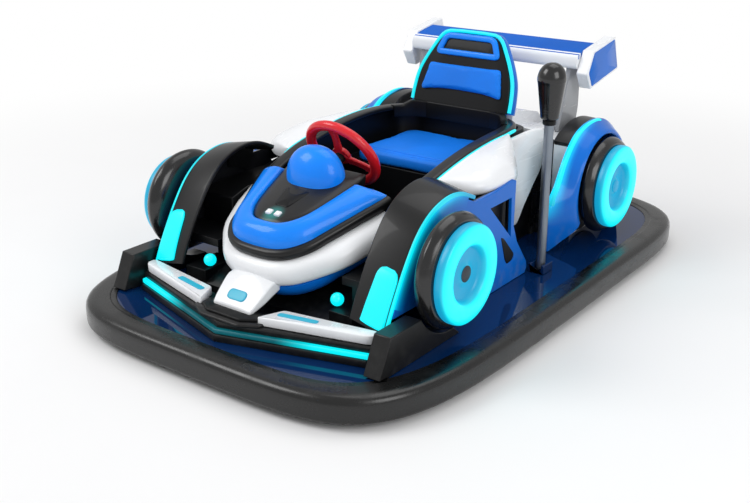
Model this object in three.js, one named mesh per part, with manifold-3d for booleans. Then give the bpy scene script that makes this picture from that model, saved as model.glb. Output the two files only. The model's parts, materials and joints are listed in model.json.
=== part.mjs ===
// Electric bumper car with open-wheel racing bodywork on a low rubber-edged platform.
// Millimetres, +Z up, the car's nose points to -Y and its left side is +X.
// Origin: on the floor, under the middle of the platform.
import * as THREE from "three";
import { mergeVertices } from "three/addons/utils/BufferGeometryUtils.js";
import Module from "manifold-3d";

const wasm = await Module();
wasm.setup();

// ---- driving dimensions -------------------------------------------------
const GAP = 0.5; // between pieces that rest on each other
const WIDTH = 1100;
const LENGTH = 1700;

const BUMPER = { bottom: 15, top: 80, depth: 64, bevel: 13 };
const DECK = { bottom: 62, top: 76 };
const FLOOR = DECK.top + GAP; // where bodywork stands

// plan of the platform: front and rear halves are superellipses with their own exponents
const PLAN = { front: { x: 4.9, y: 4.8 }, rear: { x: 2.8, y: 8 } };

const TUB = { half: 240, wall: 12, front: -345, back: 300 };
const COAMING = { half: 240, width: 38, thick: 14 };
const WHEEL = { radius: 138, frontY: -421, frontZ: 245, rearY: 420, rearZ: 233 };
const FRONT_FACE = 478; // outer faces of the lit rings
const REAR_FACE = 455;
const RING = { outer: 118.5, inner: 66, depth: 26 };
const TYRE_WIDTH = 78;
const AXLE_R = 12;

const COWL = { y: -450, z: 326, slope: 0.355, crown: 26, crownHalf: 200, rim: 26, band: 12 };
const COWL_BACK = 100; // back edges of the cowl's layers, along its own slope
const HOOD_BACK = 134;
const DOME = { y: -388, base: 384, top: 459, halfWidth: 82, halfLength: 58 };
const SHELL = { depth: 60, grow: 50, back: 76 }; // white nose shell, measured across the cowl
const LOWER = { depth: 46, grow: 16, back: 58 }; // blue band under it
const TIP = { half: 68, bottom: 130 }; // lowest block of the nose, over the front wing
const NOSE_BED = { front: 112, back: 204 }; // top of the block that carries the nose

const SWEEP = 0.29; // the front wing's leading edge runs back by this much per millimetre outward
const WING_HALF = 362;
const FLAP = { bottom: 122.5, top: 145 };
const FENDER = { inner: 270, outer: 370, thick: 12, drop: 0.2 };
const PANEL = { inner: 356, outer: 370 };
const SPONSON = { inner: 241, outer: 345 };
const FLANK = { inner: 336, outer: 366 };
const REAR_BOX = { inner: 241, outer: 334, front: 325, back: 600, top: 368 };

const SEAT = { half: 188, front: -8, back: 286, bottom: 300, top: 340 };
const BACK = { y: 262, z: 431, tilt: 17, shell: 30, face: 8 };
const DASH = { half: 40, y: -321, depth: 20, bottom: 340, top: 384 };
const STEER = { y: -280, z: 414, tilt: 31.6, radius: 96, tube: 14 };
const LEVER = { x: 395, y: 70, pivotZ: 92, poleR: 12.5, poleTop: 492, top: 637 };

const WING = { half: 284.5, plate: 36, front: 432, back: 556 };
const FRAME = { bottom: 34, thin: 59, width: 28, reach: 640 };
const MOTOR = { half: 110, depth: 81.5, below: 29, above: 45, axle: 176 };
const BATTERY = { half: 95, front: 90, back: 210, top: 270 };
const DRIVE = { x: 150, y: 150, radius: 65, width: 40, axleR: 10 };
const CASTER = { x: 300, y: -560, radius: 23, width: 20, trail: 14, axleR: 4 };

// ---- finishes -----------------------------------------------------------
const finish = (color, roughness, metalness = 0, emissive = 0x000000) =>
  new THREE.MeshStandardMaterial({ color, roughness, metalness, emissive });
const WHITE = finish(0xf2f3f5, 0.3);
const BLUE = finish(0x1e80f0, 0.3);
const DEEP_BLUE = finish(0x1a5fc0, 0.35);
const CHARCOAL = finish(0x2b2b2d, 0.45);
const BLACK = finish(0x101114, 0.4);
const RUBBER = finish(0x262626, 0.6);
const NAVY = finish(0x06264f, 0.08);
const GLOW = finish(0x00f4ff, 0.3, 0, 0x00c8d8);
const RED = finish(0xb8202a, 0.35);
const STEEL = finish(0x80878f, 0.35, 0.9);
const VINYL = finish(0x2080f0, 0.5);

// ---- geometry helpers ---------------------------------------------------
const mm = (x, y) => new THREE.Vector2(x, y);

// The outline without points that lie on the straight line between their neighbours.
function corners(points) {
  return points.filter(([x, y], i) => {
    const [ax, ay] = points[(i + points.length - 1) % points.length];
    const [bx, by] = points[(i + 1) % points.length];
    const area = (x - ax) * (by - ay) - (y - ay) * (bx - ax);
    return Math.abs(area) > 1e-3;
  });
}

// A smooth open curve through the given points.
function through(points, divisions) {
  const curve = new THREE.SplineCurve(points.map(([x, y]) => mm(x, y)));
  return curve.getPoints(divisions).map((p) => [p.x, p.y]);
}

// The right half of an outline and its mirror image, joined into one closed outline.
function mirrored(half) {
  const left = half.filter(([x]) => Math.abs(x) > 1e-6).map(([x, y]) => [-x, y]);
  return [...half, ...left.reverse()];
}

// Points of a circle between two angles in degrees.
function arc(cx, cy, r, from, to, steps) {
  return Array.from({ length: steps + 1 }, (_, i) => {
    const a = THREE.MathUtils.degToRad(from + ((to - from) * i) / steps);
    return [cx + r * Math.cos(a), cy + r * Math.sin(a)];
  });
}

// The same open curve moved sideways by a distance, to the left of its direction if positive.
function offset(points, distance) {
  return points.map(([x, y], i) => {
    const [ax, ay] = points[Math.max(0, i - 1)];
    const [bx, by] = points[Math.min(points.length - 1, i + 1)];
    const l = Math.hypot(bx - ax, by - ay);
    return [x - ((by - ay) / l) * distance, y + ((bx - ax) / l) * distance];
  });
}

function extrusion(outline, depth, holes, bevel) {
  const pathPoints = (points) => corners(points).map(([x, y]) => mm(x, y));
  const shape = new THREE.Shape(pathPoints(outline));
  shape.holes = holes.map((h) => new THREE.Path(pathPoints(h)));
  const b = bevel || 0;
  const g = new THREE.ExtrudeGeometry(shape, {
    depth: depth - 2 * b,
    bevelEnabled: b > 0,
    bevelThickness: b,
    bevelSize: b,
    bevelOffset: -b,
    bevelSegments: 2,
    curveSegments: 12,
  });
  return g.translate(0, 0, b);
}

// Extrusions of an outline seen from above (x, y), from the side (y, z) and from the front (x, z).
const fromAbove = (outline, z0, z1, { holes = [], bevel = 0 } = {}) =>
  extrusion(outline, z1 - z0, holes, bevel).translate(0, 0, z0);
function fromSide(outline, x0, x1, { holes = [], bevel = 0 } = {}) {
  const g = extrusion(outline, x1 - x0, holes, bevel);
  const cycle = new THREE.Matrix4().set(0, 0, 1, x0, 1, 0, 0, 0, 0, 1, 0, 0, 0, 0, 0, 1);
  return g.applyMatrix4(cycle);
}
const fromFront = (outline, y0, y1, { holes = [], bevel = 0 } = {}) =>
  extrusion(outline, y1 - y0, holes, bevel).rotateX(Math.PI / 2).translate(0, y1, 0);

const box = (x0, x1, y0, y1, z0, z1) =>
  new THREE.BoxGeometry(x1 - x0, y1 - y0, z1 - z0).translate(
    (x0 + x1) / 2,
    (y0 + y1) / 2,
    (z0 + z1) / 2,
  );

// A round piece turned about the X axis: profile of [x, radius] points.
const turnedAboutX = (profile, segments) =>
  new THREE.LatheGeometry(
    profile.map(([x, r]) => mm(r, x)),
    segments,
  ).rotateZ(-Math.PI / 2);
const rod = (radius, x0, x1, segments = 24) =>
  new THREE.CylinderGeometry(radius, radius, x1 - x0, segments)
    .rotateZ(Math.PI / 2)
    .translate((x0 + x1) / 2, 0, 0);
const post = (radius, z0, z1, segments = 24) =>
  new THREE.CylinderGeometry(radius, radius, z1 - z0, segments)
    .rotateX(Math.PI / 2)
    .translate(0, 0, (z0 + z1) / 2);

// Moves every vertex by a rule.
function warp(geometry, rule) {
  const p = geometry.attributes.position;
  for (let i = 0; i < p.count; i++) {
    p.setXYZ(i, ...rule(p.getX(i), p.getY(i), p.getZ(i)));
  }
  return geometry;
}

function solid(geometry) {
  const bare = geometry.clone();
  bare.deleteAttribute("normal");
  bare.deleteAttribute("uv");
  const merged = mergeVertices(bare, 1e-3);
  return new wasm.Manifold(
    new wasm.Mesh({
      numProp: 3,
      vertProperties: merged.attributes.position.array,
      triVerts: new Uint32Array(merged.index.array),
    }),
  );
}

function geometryOf(manifold) {
  const m = manifold.getMesh();
  const g = new THREE.BufferGeometry();
  g.setAttribute("position", new THREE.BufferAttribute(m.vertProperties, 3));
  g.setIndex(new THREE.BufferAttribute(m.triVerts, 1));
  g.computeVertexNormals();
  return g;
}

const cut = (body, ...tools) =>
  geometryOf(tools.reduce((left, t) => left.subtract(solid(t)), solid(body)));
const joined = (first, ...others) =>
  geometryOf(others.reduce((sum, g) => sum.add(solid(g)), solid(first)));
const common = (a, b) => geometryOf(solid(a).intersect(solid(b)));

const car = new THREE.Group();
function piece(name, geometry, material, parent = car) {
  const mesh = new THREE.Mesh(geometry, material);
  mesh.name = name;
  parent.add(mesh);
  return mesh;
}

// One piece on each side; the geometry given is the car's left one, at +X.
function pair(name, geometry, material, parent = car) {
  piece(name + "_left", geometry, material, parent);
  piece(name + "_right", geometry, material, parent).scale.x = -1;
}

// ---- platform -----------------------------------------------------------
function platformOutline(inset, steps = 18) {
  const a = WIDTH / 2 - inset;
  const b = LENGTH / 2 - inset;
  const half = (e, sign) =>
    Array.from({ length: steps + 1 }, (_, i) => {
      const t = (Math.PI / 2) * (i / steps);
      return [a * Math.cos(t) ** (2 / e.x), sign * b * Math.sin(t) ** (2 / e.y)];
    });
  const front = half(PLAN.front, -1).reverse();
  front[0][0] = 0;
  const rear = half(PLAN.rear, 1).slice(1);
  rear[rear.length - 1][0] = 0;
  return mirrored([...front, ...rear]);
}

function platform() {
  piece(
    "bumper_ring",
    fromAbove(platformOutline(0), BUMPER.bottom, BUMPER.top, {
      holes: [platformOutline(BUMPER.depth)],
      bevel: BUMPER.bevel,
    }),
    RUBBER,
  );
  const wellHalf = MOTOR.depth + 1;
  const well = box(
    -185,
    185,
    DRIVE.y - wellHalf,
    DRIVE.y + wellHalf,
    DECK.bottom - 5,
    DECK.top + 5,
  );
  const deck = fromAbove(platformOutline(BUMPER.depth + GAP), DECK.bottom, DECK.top);
  piece("deck_plate", cut(deck, well), NAVY);

  const { bottom, thin, width, reach } = FRAME;
  const top = DECK.bottom - GAP;
  const rails = [205, -235].map((x) => box(x, x + 30, -reach, reach, bottom, top));
  const bars = [-200, 40, 232, 560].map((y) => box(-220, 220, y, y + width, bottom, top));
  const ends = [-1, 1].map((side) => {
    const x = side * CASTER.x;
    const pad = box(x - 32, x + 32, CASTER.y - 32, CASTER.y + 32, thin, top);
    return joined(pad, post(6, 51, thin + 1).translate(x, CASTER.y, 0));
  });
  const front = box(-320, 320, CASTER.y - width / 2, CASTER.y + width / 2, thin, top);
  piece("chassis_frame", joined(...rails, ...bars, front, ...ends), STEEL);
  const { half, front: y0, back: y1, top: z1 } = BATTERY;
  const z0 = DRIVE.radius + MOTOR.above + GAP;
  piece("battery_block", box(-half, half, y0, y1, z0, z1), BLACK);
}

// ---- running gear -------------------------------------------------------
function driveWheels() {
  const unit = new THREE.Group();
  unit.position.set(0, DRIVE.y, DRIVE.radius);
  car.add(unit);
  const { half, depth, below, above, axle } = MOTOR;
  const gearbox = box(-half, half, -depth, depth, -below, above);
  piece("drive_unit", joined(gearbox, rod(DRIVE.axleR, -axle, axle)), STEEL, unit);
  const w = DRIVE.width / 2;
  const profile = [
    [-w, DRIVE.axleR + 1],
    [-w, DRIVE.radius - 5],
    [5 - w, DRIVE.radius],
    [w - 5, DRIVE.radius],
    [w, DRIVE.radius - 5],
    [w, DRIVE.axleR + 1],
    [-w, DRIVE.axleR + 1],
  ];
  pair("drive_wheel", turnedAboutX(profile, 32).translate(DRIVE.x, 0, 0), RUBBER, unit);
}

function casters() {
  for (const side of [1, -1]) {
    const name = side > 0 ? "left" : "right";
    const caster = new THREE.Group();
    caster.position.set(side * CASTER.x, CASTER.y, 0);
    car.add(caster);
    const half = CASTER.width / 2;
    const leg = (x) =>
      fromSide(
        [
          [-8, 52.5],
          [8, 52.5],
          [CASTER.trail + 9, CASTER.radius + 6],
          [CASTER.trail + 9, CASTER.radius - 9],
          [CASTER.trail - 9, CASTER.radius - 9],
          [CASTER.trail - 9, CASTER.radius + 6],
        ],
        x,
        x + 3,
      );
    const crown = cut(post(24, 51.5, 58), post(6.6, 50, 60));
    const pin = rod(CASTER.axleR, -half - 5, half + 5).translate(0, CASTER.trail, CASTER.radius);
    const fork = joined(crown, leg(half + 2), leg(-half - 5), pin);
    piece("caster_fork_" + name, fork, STEEL, caster);
    const profile = [
      [-half, CASTER.axleR + 0.6],
      [-half, CASTER.radius - 3],
      [3 - half, CASTER.radius],
      [half - 3, CASTER.radius],
      [half, CASTER.radius - 3],
      [half, CASTER.axleR + 0.6],
      [-half, CASTER.axleR + 0.6],
    ];
    const wheel = turnedAboutX(profile, 28);
    wheel.translate(0, CASTER.trail, CASTER.radius);
    piece("caster_wheel_" + name, wheel, RUBBER, caster);
  }
}

// Large lit wheels, standing clear of the deck on stub axles.
function showWheels() {
  const place = [
    ["front", WHEEL.frontY, WHEEL.frontZ, FRONT_FACE],
    ["rear", WHEEL.rearY, WHEEL.rearZ, REAR_FACE],
  ];
  for (const [where, y, z, face] of place) {
    const tyreOut = face - RING.depth - GAP;
    const tyreIn = tyreOut - TYRE_WIDTH + RING.depth - 4;
    const R = WHEEL.radius;
    const tyre = [
      [tyreIn, AXLE_R + 1],
      [tyreIn, R - 30],
      [tyreIn + 8, R - 10],
      [tyreIn + 20, R],
      [tyreOut - 14, R],
      [tyreOut - 4, R - 9],
      [tyreOut, RING.outer - 2],
      [tyreOut, AXLE_R + 1],
      [tyreIn, AXLE_R + 1],
    ];
    const back = face - RING.depth;
    const ring = [
      [back, AXLE_R + 1],
      [back, RING.outer - 2],
      [back + 4, RING.outer],
      [face - 8, RING.outer],
      [face - 2, RING.outer - 5],
      [face, RING.outer - 14],
      [face, RING.inner + 12],
      [face - 3, RING.inner + 4],
      [face - 9, RING.inner],
      [face - 18, RING.inner - 3],
      [face - 18, AXLE_R + 1],
      [back, AXLE_R + 1],
    ];
    const move = (g) => g.translate(0, y, z);
    pair(`show_tyre_${where}`, move(turnedAboutX(tyre, 40)), RUBBER);
    pair(`show_ring_${where}`, move(turnedAboutX(ring, 40)), GLOW);
  }
}

// ---- cockpit ------------------------------------------------------------
const rimCurve = through(
  [
    [-345, 336],
    [-300, 352],
    [-200, 381],
    [-100, 402],
    [0, 416],
    [100, 422],
    [200, 421],
    [320, 414],
  ],
  22,
);
function rimHeight(y) {
  const i = Math.max(1, rimCurve.findIndex(([v]) => v >= y));
  const [[y0, z0], [y1, z1]] = [rimCurve[i - 1], rimCurve[i]];
  return z0 + ((z1 - z0) * (y - y0)) / (y1 - y0);
}
// A slab with the side view of the cockpit rim, shifted down by two distances.
function rimSlab(lower, upper) {
  const top = rimCurve.map(([y, z]) => [y, z - upper]);
  const bottom = lower === null
    ? [[320, 0], [-345, 0]]
    : rimCurve.map(([y, z]) => [y, z - lower]).reverse();
  return fromSide([...top.reverse(), ...bottom.reverse()], -260, 260);
}

function cockpitOutline(inset) {
  const w = TUB.half - inset;
  const back = TUB.back - inset;
  return mirrored([
    [0, TUB.front + inset],
    [w - 14, TUB.front + inset],
    ...through([[w - 6, -290], [w, -100], [w, 40], [w - 12, 180]], 8),
    ...arc(w - 82, back - 68, 68, 5, 90, 5),
    [0, back],
  ]);
}

function cockpit() {
  const shell = fromAbove(cockpitOutline(0), FLOOR, 440, { holes: [cockpitOutline(TUB.wall)] });
  const walls = common(shell, rimSlab(null, COAMING.thick + GAP));
  const pedestal = box(-232, 232, SEAT.front + 12, 292, FLOOR, SEAT.bottom);
  const hollow = box(-205, 205, SEAT.front + 26, 270, FLOOR - 10, SEAT.bottom - 14);
  piece("cockpit_tub", cut(joined(walls, pedestal), hollow), BLACK);
  const inner = cockpitOutline(COAMING.width).map(([x, y]) => [x, y < -250 ? -420 : y]);
  const ring = fromAbove(cockpitOutline(0), 300, 440);
  const hoop = cut(ring, fromAbove(inner, 290, 450));
  piece("cockpit_coaming", common(hoop, rimSlab(COAMING.thick, 0)), CHARCOAL);
}

function seat() {
  const { half, front, back, bottom, top } = SEAT;
  const outline = mirrored([[0, front], [half - 14, front], [half, front + 30], [half, back - 60],
    [half - 50, back], [0, back]]);
  piece("seat_cushion", fromAbove(outline, bottom + GAP, top, { bevel: 9 }), VINYL);

  const group = new THREE.Group();
  group.position.set(0, BACK.y, BACK.z);
  group.rotation.x = THREE.MathUtils.degToRad(-BACK.tilt);
  car.add(group);
  const side = through([[171, 0], [170, 40], [163, 90], [140, 145], [108, 200]], 8);
  const outlineBack = mirrored([[0, 0], ...side, [96, 215], [78, 223], [0, 226]]);
  const inset = (d) => outlineBack.map(([x, z]) => [x * (1 - d / 150), 4 + (z - 4) * (1 - d / 150)]);
  const shell = fromFront(outlineBack, BACK.face + GAP, BACK.face + BACK.shell, { bevel: 5 });
  piece("seat_back", joined(shell, fromFront(inset(12), 0, BACK.face + 2)), BLUE, group);
  const tube = cut(
    fromFront(outlineBack, -4, BACK.face),
    fromFront(inset(11.4), -10, BACK.face + 5),
    box(-200, 200, -20, 60, -20, 6),
  );
  piece("seat_back_light", tube, GLOW, group);
  const pad = mirrored([[0, 36], [143, 36], [147, 42], [132, 119], [122, 128], [0, 128]]);
  piece("back_pad", fromFront(pad, -12, -GAP, { bevel: 3 }), VINYL, group);
}

function steering() {
  // Built with +Z down the column, away from the driver, then turned to the column's rake.
  const raked = (g) =>
    g.rotateX(THREE.MathUtils.degToRad(90 + STEER.tilt)).translate(0, STEER.y, STEER.z);
  const rim = new THREE.TorusGeometry(STEER.radius, STEER.tube, 10, 36);
  const hub = post(24, -8, 10, 20);
  const spokes = [90, 210, 330].map((angle) =>
    box(0, STEER.radius - 4, -9, 9, -5, 4).rotateZ(THREE.MathUtils.degToRad(angle)),
  );
  piece("steering_wheel", raked(joined(rim, hub, ...spokes)), RED);
  const beyondDash = box(-40, 40, DASH.y - 100, DASH.y + GAP, 300, 460);
  piece("steering_column", cut(raked(post(15, 11, 90, 20)), beyondDash), BLACK);
}

function lever() {
  const { x, y, pivotZ, poleR, poleTop, top } = LEVER;
  const group = new THREE.Group();
  group.position.set(x, y, pivotZ);
  car.add(group);
  const cheeks = cut(
    box(-23, 23, -26, 26, FLOOR - pivotZ, 9),
    box(-poleR - 2, poleR + 2, -30, 30, -13.5, 20),
  );
  piece("lever_base", joined(cheeks, rod(4, -20, 20, 16)), CHARCOAL, group);
  const pole = cut(post(poleR, -7, poleTop - pivotZ, 20), rod(4.6, -30, 30, 16));
  piece("lever_pole", pole, STEEL, group);
  const h = top - poleTop;
  const profile = [
    [0, 0.5], [20, 0.5], [23, 8], [34, h * 0.55], [37, h * 0.68], [35, h * 0.82],
    [27, h * 0.93], [14, h * 0.99], [0, h],
  ].map(([r, z]) => mm(r, z));
  const grip = new THREE.LatheGeometry(profile, 28).rotateX(Math.PI / 2);
  piece("lever_grip", grip.translate(0, 0, poleTop - pivotZ), BLACK, group);
}

// ---- nose ---------------------------------------------------------------
// Half of the cowl's outline in its own plane, grown all round and squared off at the back.
function cowlOutline(grow, back = COWL_BACK) {
  const sx = 1 + grow / 195;
  const sy = 1 + grow / 206;
  const half = through(
    [[0, -176], [50, -172], [88, -155], [118, -118], [136, -70], [167, 16], [190, 80], [195, 111]],
    20,
  );
  const grown = half.map(([x, y]) => [x * sx, (y - 30) * sy + 30]);
  const kept = grown.filter(([, y]) => y < back - 16);
  const [x0, y0] = kept[kept.length - 1];
  const [x1, y1] = grown[kept.length];
  return [...kept, [x0 + ((x1 - x0) * (back - y0)) / (y1 - y0), back]];
}
const bandInner = through(
  [[0, -122], [34, -118], [60, -100], [82, -62], [98, 0], [112, 70], [116, COWL_BACK]],
  12,
);
const closed = (half, back) => mirrored([...half, [0, back]]);
// From the cowl's own plane to the car: the plane rises toward the cockpit.
const sloped = (g) => g.rotateX(Math.atan(COWL.slope)).translate(0, COWL.y, COWL.z);
// Arches the upper faces of a flat panel across its width.
const crowned = (g, from) =>
  warp(g, (x, y, z) => [x, y, z > from ? z + COWL.crown * (1 - (x / COWL.crownHalf) ** 2) : z]);

// The lower tip of the nose; grown to cut clearance for it.
function noseTip(grow) {
  const profile = [
    [-590, 222],
    [-640, 204],
    [-656, 190],
    [-703, TIP.bottom + 16],
    [-700, TIP.bottom + 4 - grow],
    [-668, TIP.bottom - grow],
    [-646, TIP.bottom + 8 - grow],
    [-596, TIP.bottom + 40 - grow],
  ];
  return fromSide(profile, -TIP.half - grow, TIP.half + grow);
}

function nose() {
  const hood = closed(bandInner, COWL_BACK).map(([x, y]) => [
    x * 0.985,
    y < COWL_BACK - 1 ? y * 0.985 : HOOD_BACK,
  ]);
  const rim = fromAbove(closed(cowlOutline(14), COWL_BACK), -COWL.rim, 0, { bevel: 6 });
  const raised = crowned(fromAbove(hood, -3, 4), 2);
  const dash = box(-DASH.half, DASH.half, DASH.y - DASH.depth, DASH.y, DASH.bottom, DASH.top);
  piece("cowl_panel", joined(sloped(joined(rim, raised)), dash), CHARCOAL);
  const band = crowned(fromAbove(closed(cowlOutline(0), COWL_BACK), GAP, COWL.band), 5);
  const opening = fromAbove(closed(bandInner, COWL_BACK + 20), -5, 60);
  piece("cowl_band", sloped(cut(band, opening)), BLUE);

  const layer = ({ depth, grow, back }, topZ, bevel) =>
    sloped(fromAbove(closed(cowlOutline(grow, back), back), topZ - depth, topZ, { bevel }));
  const shellTop = -COWL.rim - GAP;
  piece("nose_shell", joined(layer(SHELL, shellTop, 12), noseTip(0)), WHITE);
  const lower = layer(LOWER, shellTop - SHELL.depth - GAP, 6);
  piece("nose_lower_band", cut(lower, noseTip(GAP)), DEEP_BLUE);

  const { y, base, top, halfWidth, halfLength } = DOME;
  const quarter = arc(0, 0, 1, 0, 90, 10).map(([r, z]) => mm(Math.abs(r) < 1e-9 ? 0 : r, z));
  const ball = new THREE.LatheGeometry([mm(0, -0.4), mm(1, -0.4), ...quarter], 32)
    .rotateX(Math.PI / 2)
    .scale(halfWidth, halfLength, top - base)
    .translate(0, y, base);
  const bed = sloped(crowned(fromAbove(hood, -80, 4 + GAP), 2));
  piece("cowl_dome", cut(ball, bed), BLUE);
}

// ---- front wing ---------------------------------------------------------
// A layer of the wing, V-shaped in plan, with its tip at the given y.
function chevron(lead, chord, z0, z1) {
  const edge = (x, back) => [x, lead + SWEEP * x + back];
  const half = [edge(0, 0), edge(WING_HALF, 0), edge(WING_HALF, chord * 0.7), edge(0, chord)];
  return fromAbove(mirrored(half), z0, z1, { bevel: 2 });
}

function frontWing() {
  const splitter = chevron(-766, 110, FLOOR, 94);
  const core = chevron(-700, 40, 90, 110);
  const slat = chevron(-752, 90, 106 + GAP, FLAP.bottom - GAP);
  piece("front_splitter", joined(splitter, core, slat), CHARCOAL);
  piece("splitter_light", chevron(-760, 50, 94 + GAP, 106), GLOW);
  const flap = [[92, -713], [358, -642], [362, -609], [116, -648]];
  pair("front_flap", fromAbove(flap, FLAP.bottom, FLAP.top, { bevel: 4 }), WHITE);
  const overBumper = BUMPER.top + GAP;
  const plate = [
    [-700, overBumper],
    [-674, overBumper],
    [-674, FLOOR],
    [-385, FLOOR],
    [-491, 168],
    [-660, 168],
  ];
  const clear = rod(146, 300, 500, 40).translate(0, WHEEL.frontY, WHEEL.frontZ);
  pair("front_endplate", cut(fromSide(plate, 383, 428), clear), CHARCOAL);

  const { front, back } = NOSE_BED;
  const block = [[-590, FLOOR], [-350, FLOOR], [-350, back], [-590, front]];
  const shelf = box(-268, 268, -590, -480, FLOOR, 146);
  const bed = box(-200, 200, -640, -480, front, 220);
  const arm = joined(box(200, 355, -540, -442, 193, 213), box(230, 262, -540, -500, 140, 200));
  const arms = [arm, arm.clone().rotateZ(Math.PI).translate(0, -982, 0)];
  piece("front_body", joined(cut(shelf, bed), fromSide(block, -200, 200), ...arms), BLACK);
}

// ---- side bodywork ------------------------------------------------------
const fenderTop = through(
  [[-604, 152], [-576, 210], [-527, 293], [-479, 355], [-425, 394], [-360, 412], [-300, 408],
    [-240, 384]],
  22,
);
const sheared = (g) =>
  warp(g, (x, y, z) => [x, y, z - FENDER.drop * Math.max(0, x - FENDER.inner)]);

function frontFenders() {
  const under = offset(fenderTop, -FENDER.thick);
  const strip = [...fenderTop, ...[...under].reverse()].reverse();
  pair("front_fender", sheared(fromSide(strip, FENDER.inner, FENDER.outer)), CHARCOAL);
  // Flat side panel under the fender; the wheel's axle comes out through a round hole.
  const drop = FENDER.drop * (PANEL.outer - FENDER.inner);
  const edge = offset(fenderTop, -FENDER.thick - 1).map(([y, z]) => [y, z - drop - GAP]);
  const axleHole = arc(WHEEL.frontY, WHEEL.frontZ, AXLE_R + 2, 0, 345, 23);
  const outline = [
    ...edge.filter(([y, z]) => z > 165 && y < -252),
    [-236, 347], [-130, 349], [-60, 360], [-40, 352], [-42, 230], [-20, 180], [36, 108],
    [38, 90], [30, FLOOR], [-330, FLOOR], [-420, 162], [-572, 162],
  ];
  const vent = [[-163, 310], [-60, 311], [-57, 206]];
  const holes = [vent, axleHole];
  const panel = fromSide(outline.reverse(), PANEL.inner, PANEL.outer, { holes });
  pair("side_panel", panel, DEEP_BLUE);

  const side = [[-440, 180], [-300, 180], [-262, FLOOR], [-45, FLOOR], [-45, 334], [-200, 307], [-380, 307],
    [-440, 290]];
  const axle = rod(AXLE_R, SPONSON.outer - 5, FRONT_FACE - 16);
  axle.translate(0, WHEEL.frontY, WHEEL.frontZ);
  pair("side_box", joined(fromSide(side, SPONSON.inner, SPONSON.outer), axle), BLACK);
}

function sidePods() {
  const outline = [[250, -200], [353, -200], [355, -120], [355, -52], [336, -20], [262, 122], [250, 122]];
  const pod = fromAbove(outline, 0, 34, { bevel: 6 });
  const shaped = warp(pod, (x, y, z) => [x, y, rimHeight(y) - 52 + z - 0.2 * (x - 250)]);
  const fin = [[40, 366], [128, 350], [132, 200], [150, 202], [200, 268], [262, 300], [322, 350],
    [322, 390], [231, 400], [60, 402]];
  pair("side_pod", joined(shaped, fromSide(fin, TUB.half + 1, TUB.half + 13)), WHITE);
}

// ---- rear bodywork ------------------------------------------------------
function rearBody() {
  const { inner, outer, front, back, top } = REAR_BOX;
  const hump = [[front, FLOOR], [back, FLOOR], [back, 300], [back - 10, 318], [520, 360],
    [430, top], [front, top]];
  const boxes = [-1, 1].map((side) =>
    fromSide(hump, ...[inner - 5, outer].map((x) => x * side).sort((a, b) => a - b)),
  );
  const cover = [[TUB.back + 1, FLOOR], [back, FLOOR], [back, 290], [540, 350], [400, 385],
    [TUB.back + 1, 392]];
  const spine = [[318, 380], [400, 380], [530, 340], [530, 352], [470, 400], [350, 426], [318, 426]];
  const body = joined(fromSide(cover, -238, 238), ...boxes, fromSide(spine, -150, 150));
  piece("rear_body", body, WHITE);

  const crest = [[front, top + GAP], [430, top + GAP], [520, 360 + GAP], [back - 9, 319], [back + 1, 301],
    [back + 14, 300], [600, 352], [520, 397], [430, 411], [390, 404], [345, 389], [front, 378]];
  const flank = through([[191, 130], [187, 185], [204, 226], [236, 262], [267, 314], [300, 352],
    [345, 390], [390, 405], [450, 411], [520, 397], [610, 340], [655, 250], [660, 170], [640, FLOOR]], 26);
  const plate = fromSide([...flank, [198, FLOOR]].reverse(), FLANK.inner, FLANK.outer, { bevel: 9 });
  const axle = rod(AXLE_R, FLANK.outer - 5, REAR_FACE - 16);
  axle.translate(0, WHEEL.rearY, WHEEL.rearZ);
  pair("rear_fender", joined(plate, fromSide(crest, 285, FLANK.inner + 6), axle), DEEP_BLUE);
}

function rearWing() {
  const { half, plate, front, back } = WING;
  const section = [[front, 548], [455, 548], [back, 590], [back, 601], [548, 607], [446, 588], [front, 583]];
  const stay = [[395, 369], [500, 369], [514, 420], [514, 575], [446, 550]];
  const posts = [-258, 246].map((x) => fromSide(stay, x, x + 12));
  piece("wing_blade", joined(fromSide(section, -half, half), ...posts), BLUE);
  const end = [[431, 537], [458, 492], [638, 524], [603, 622], [465, 599]];
  pair("wing_endplate", fromSide(end, half + GAP, half + GAP + plate), WHITE);
}

platform();
driveWheels();
casters();
showWheels();
cockpit();
seat();
steering();
lever();
nose();
frontWing();
frontFenders();
sidePods();
rearBody();
rearWing();

export default car;
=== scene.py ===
# %% [markdown]
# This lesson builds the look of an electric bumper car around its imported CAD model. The
# CAD model gives every piece its place, so nothing is fitted by eye: the script asks the
# frame where a part is and builds the visible skin there, in millimetres, on a scale of
# a thousandth.

import json
import math

import bmesh
import bpy
from mathutils import Matrix, Vector


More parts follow.
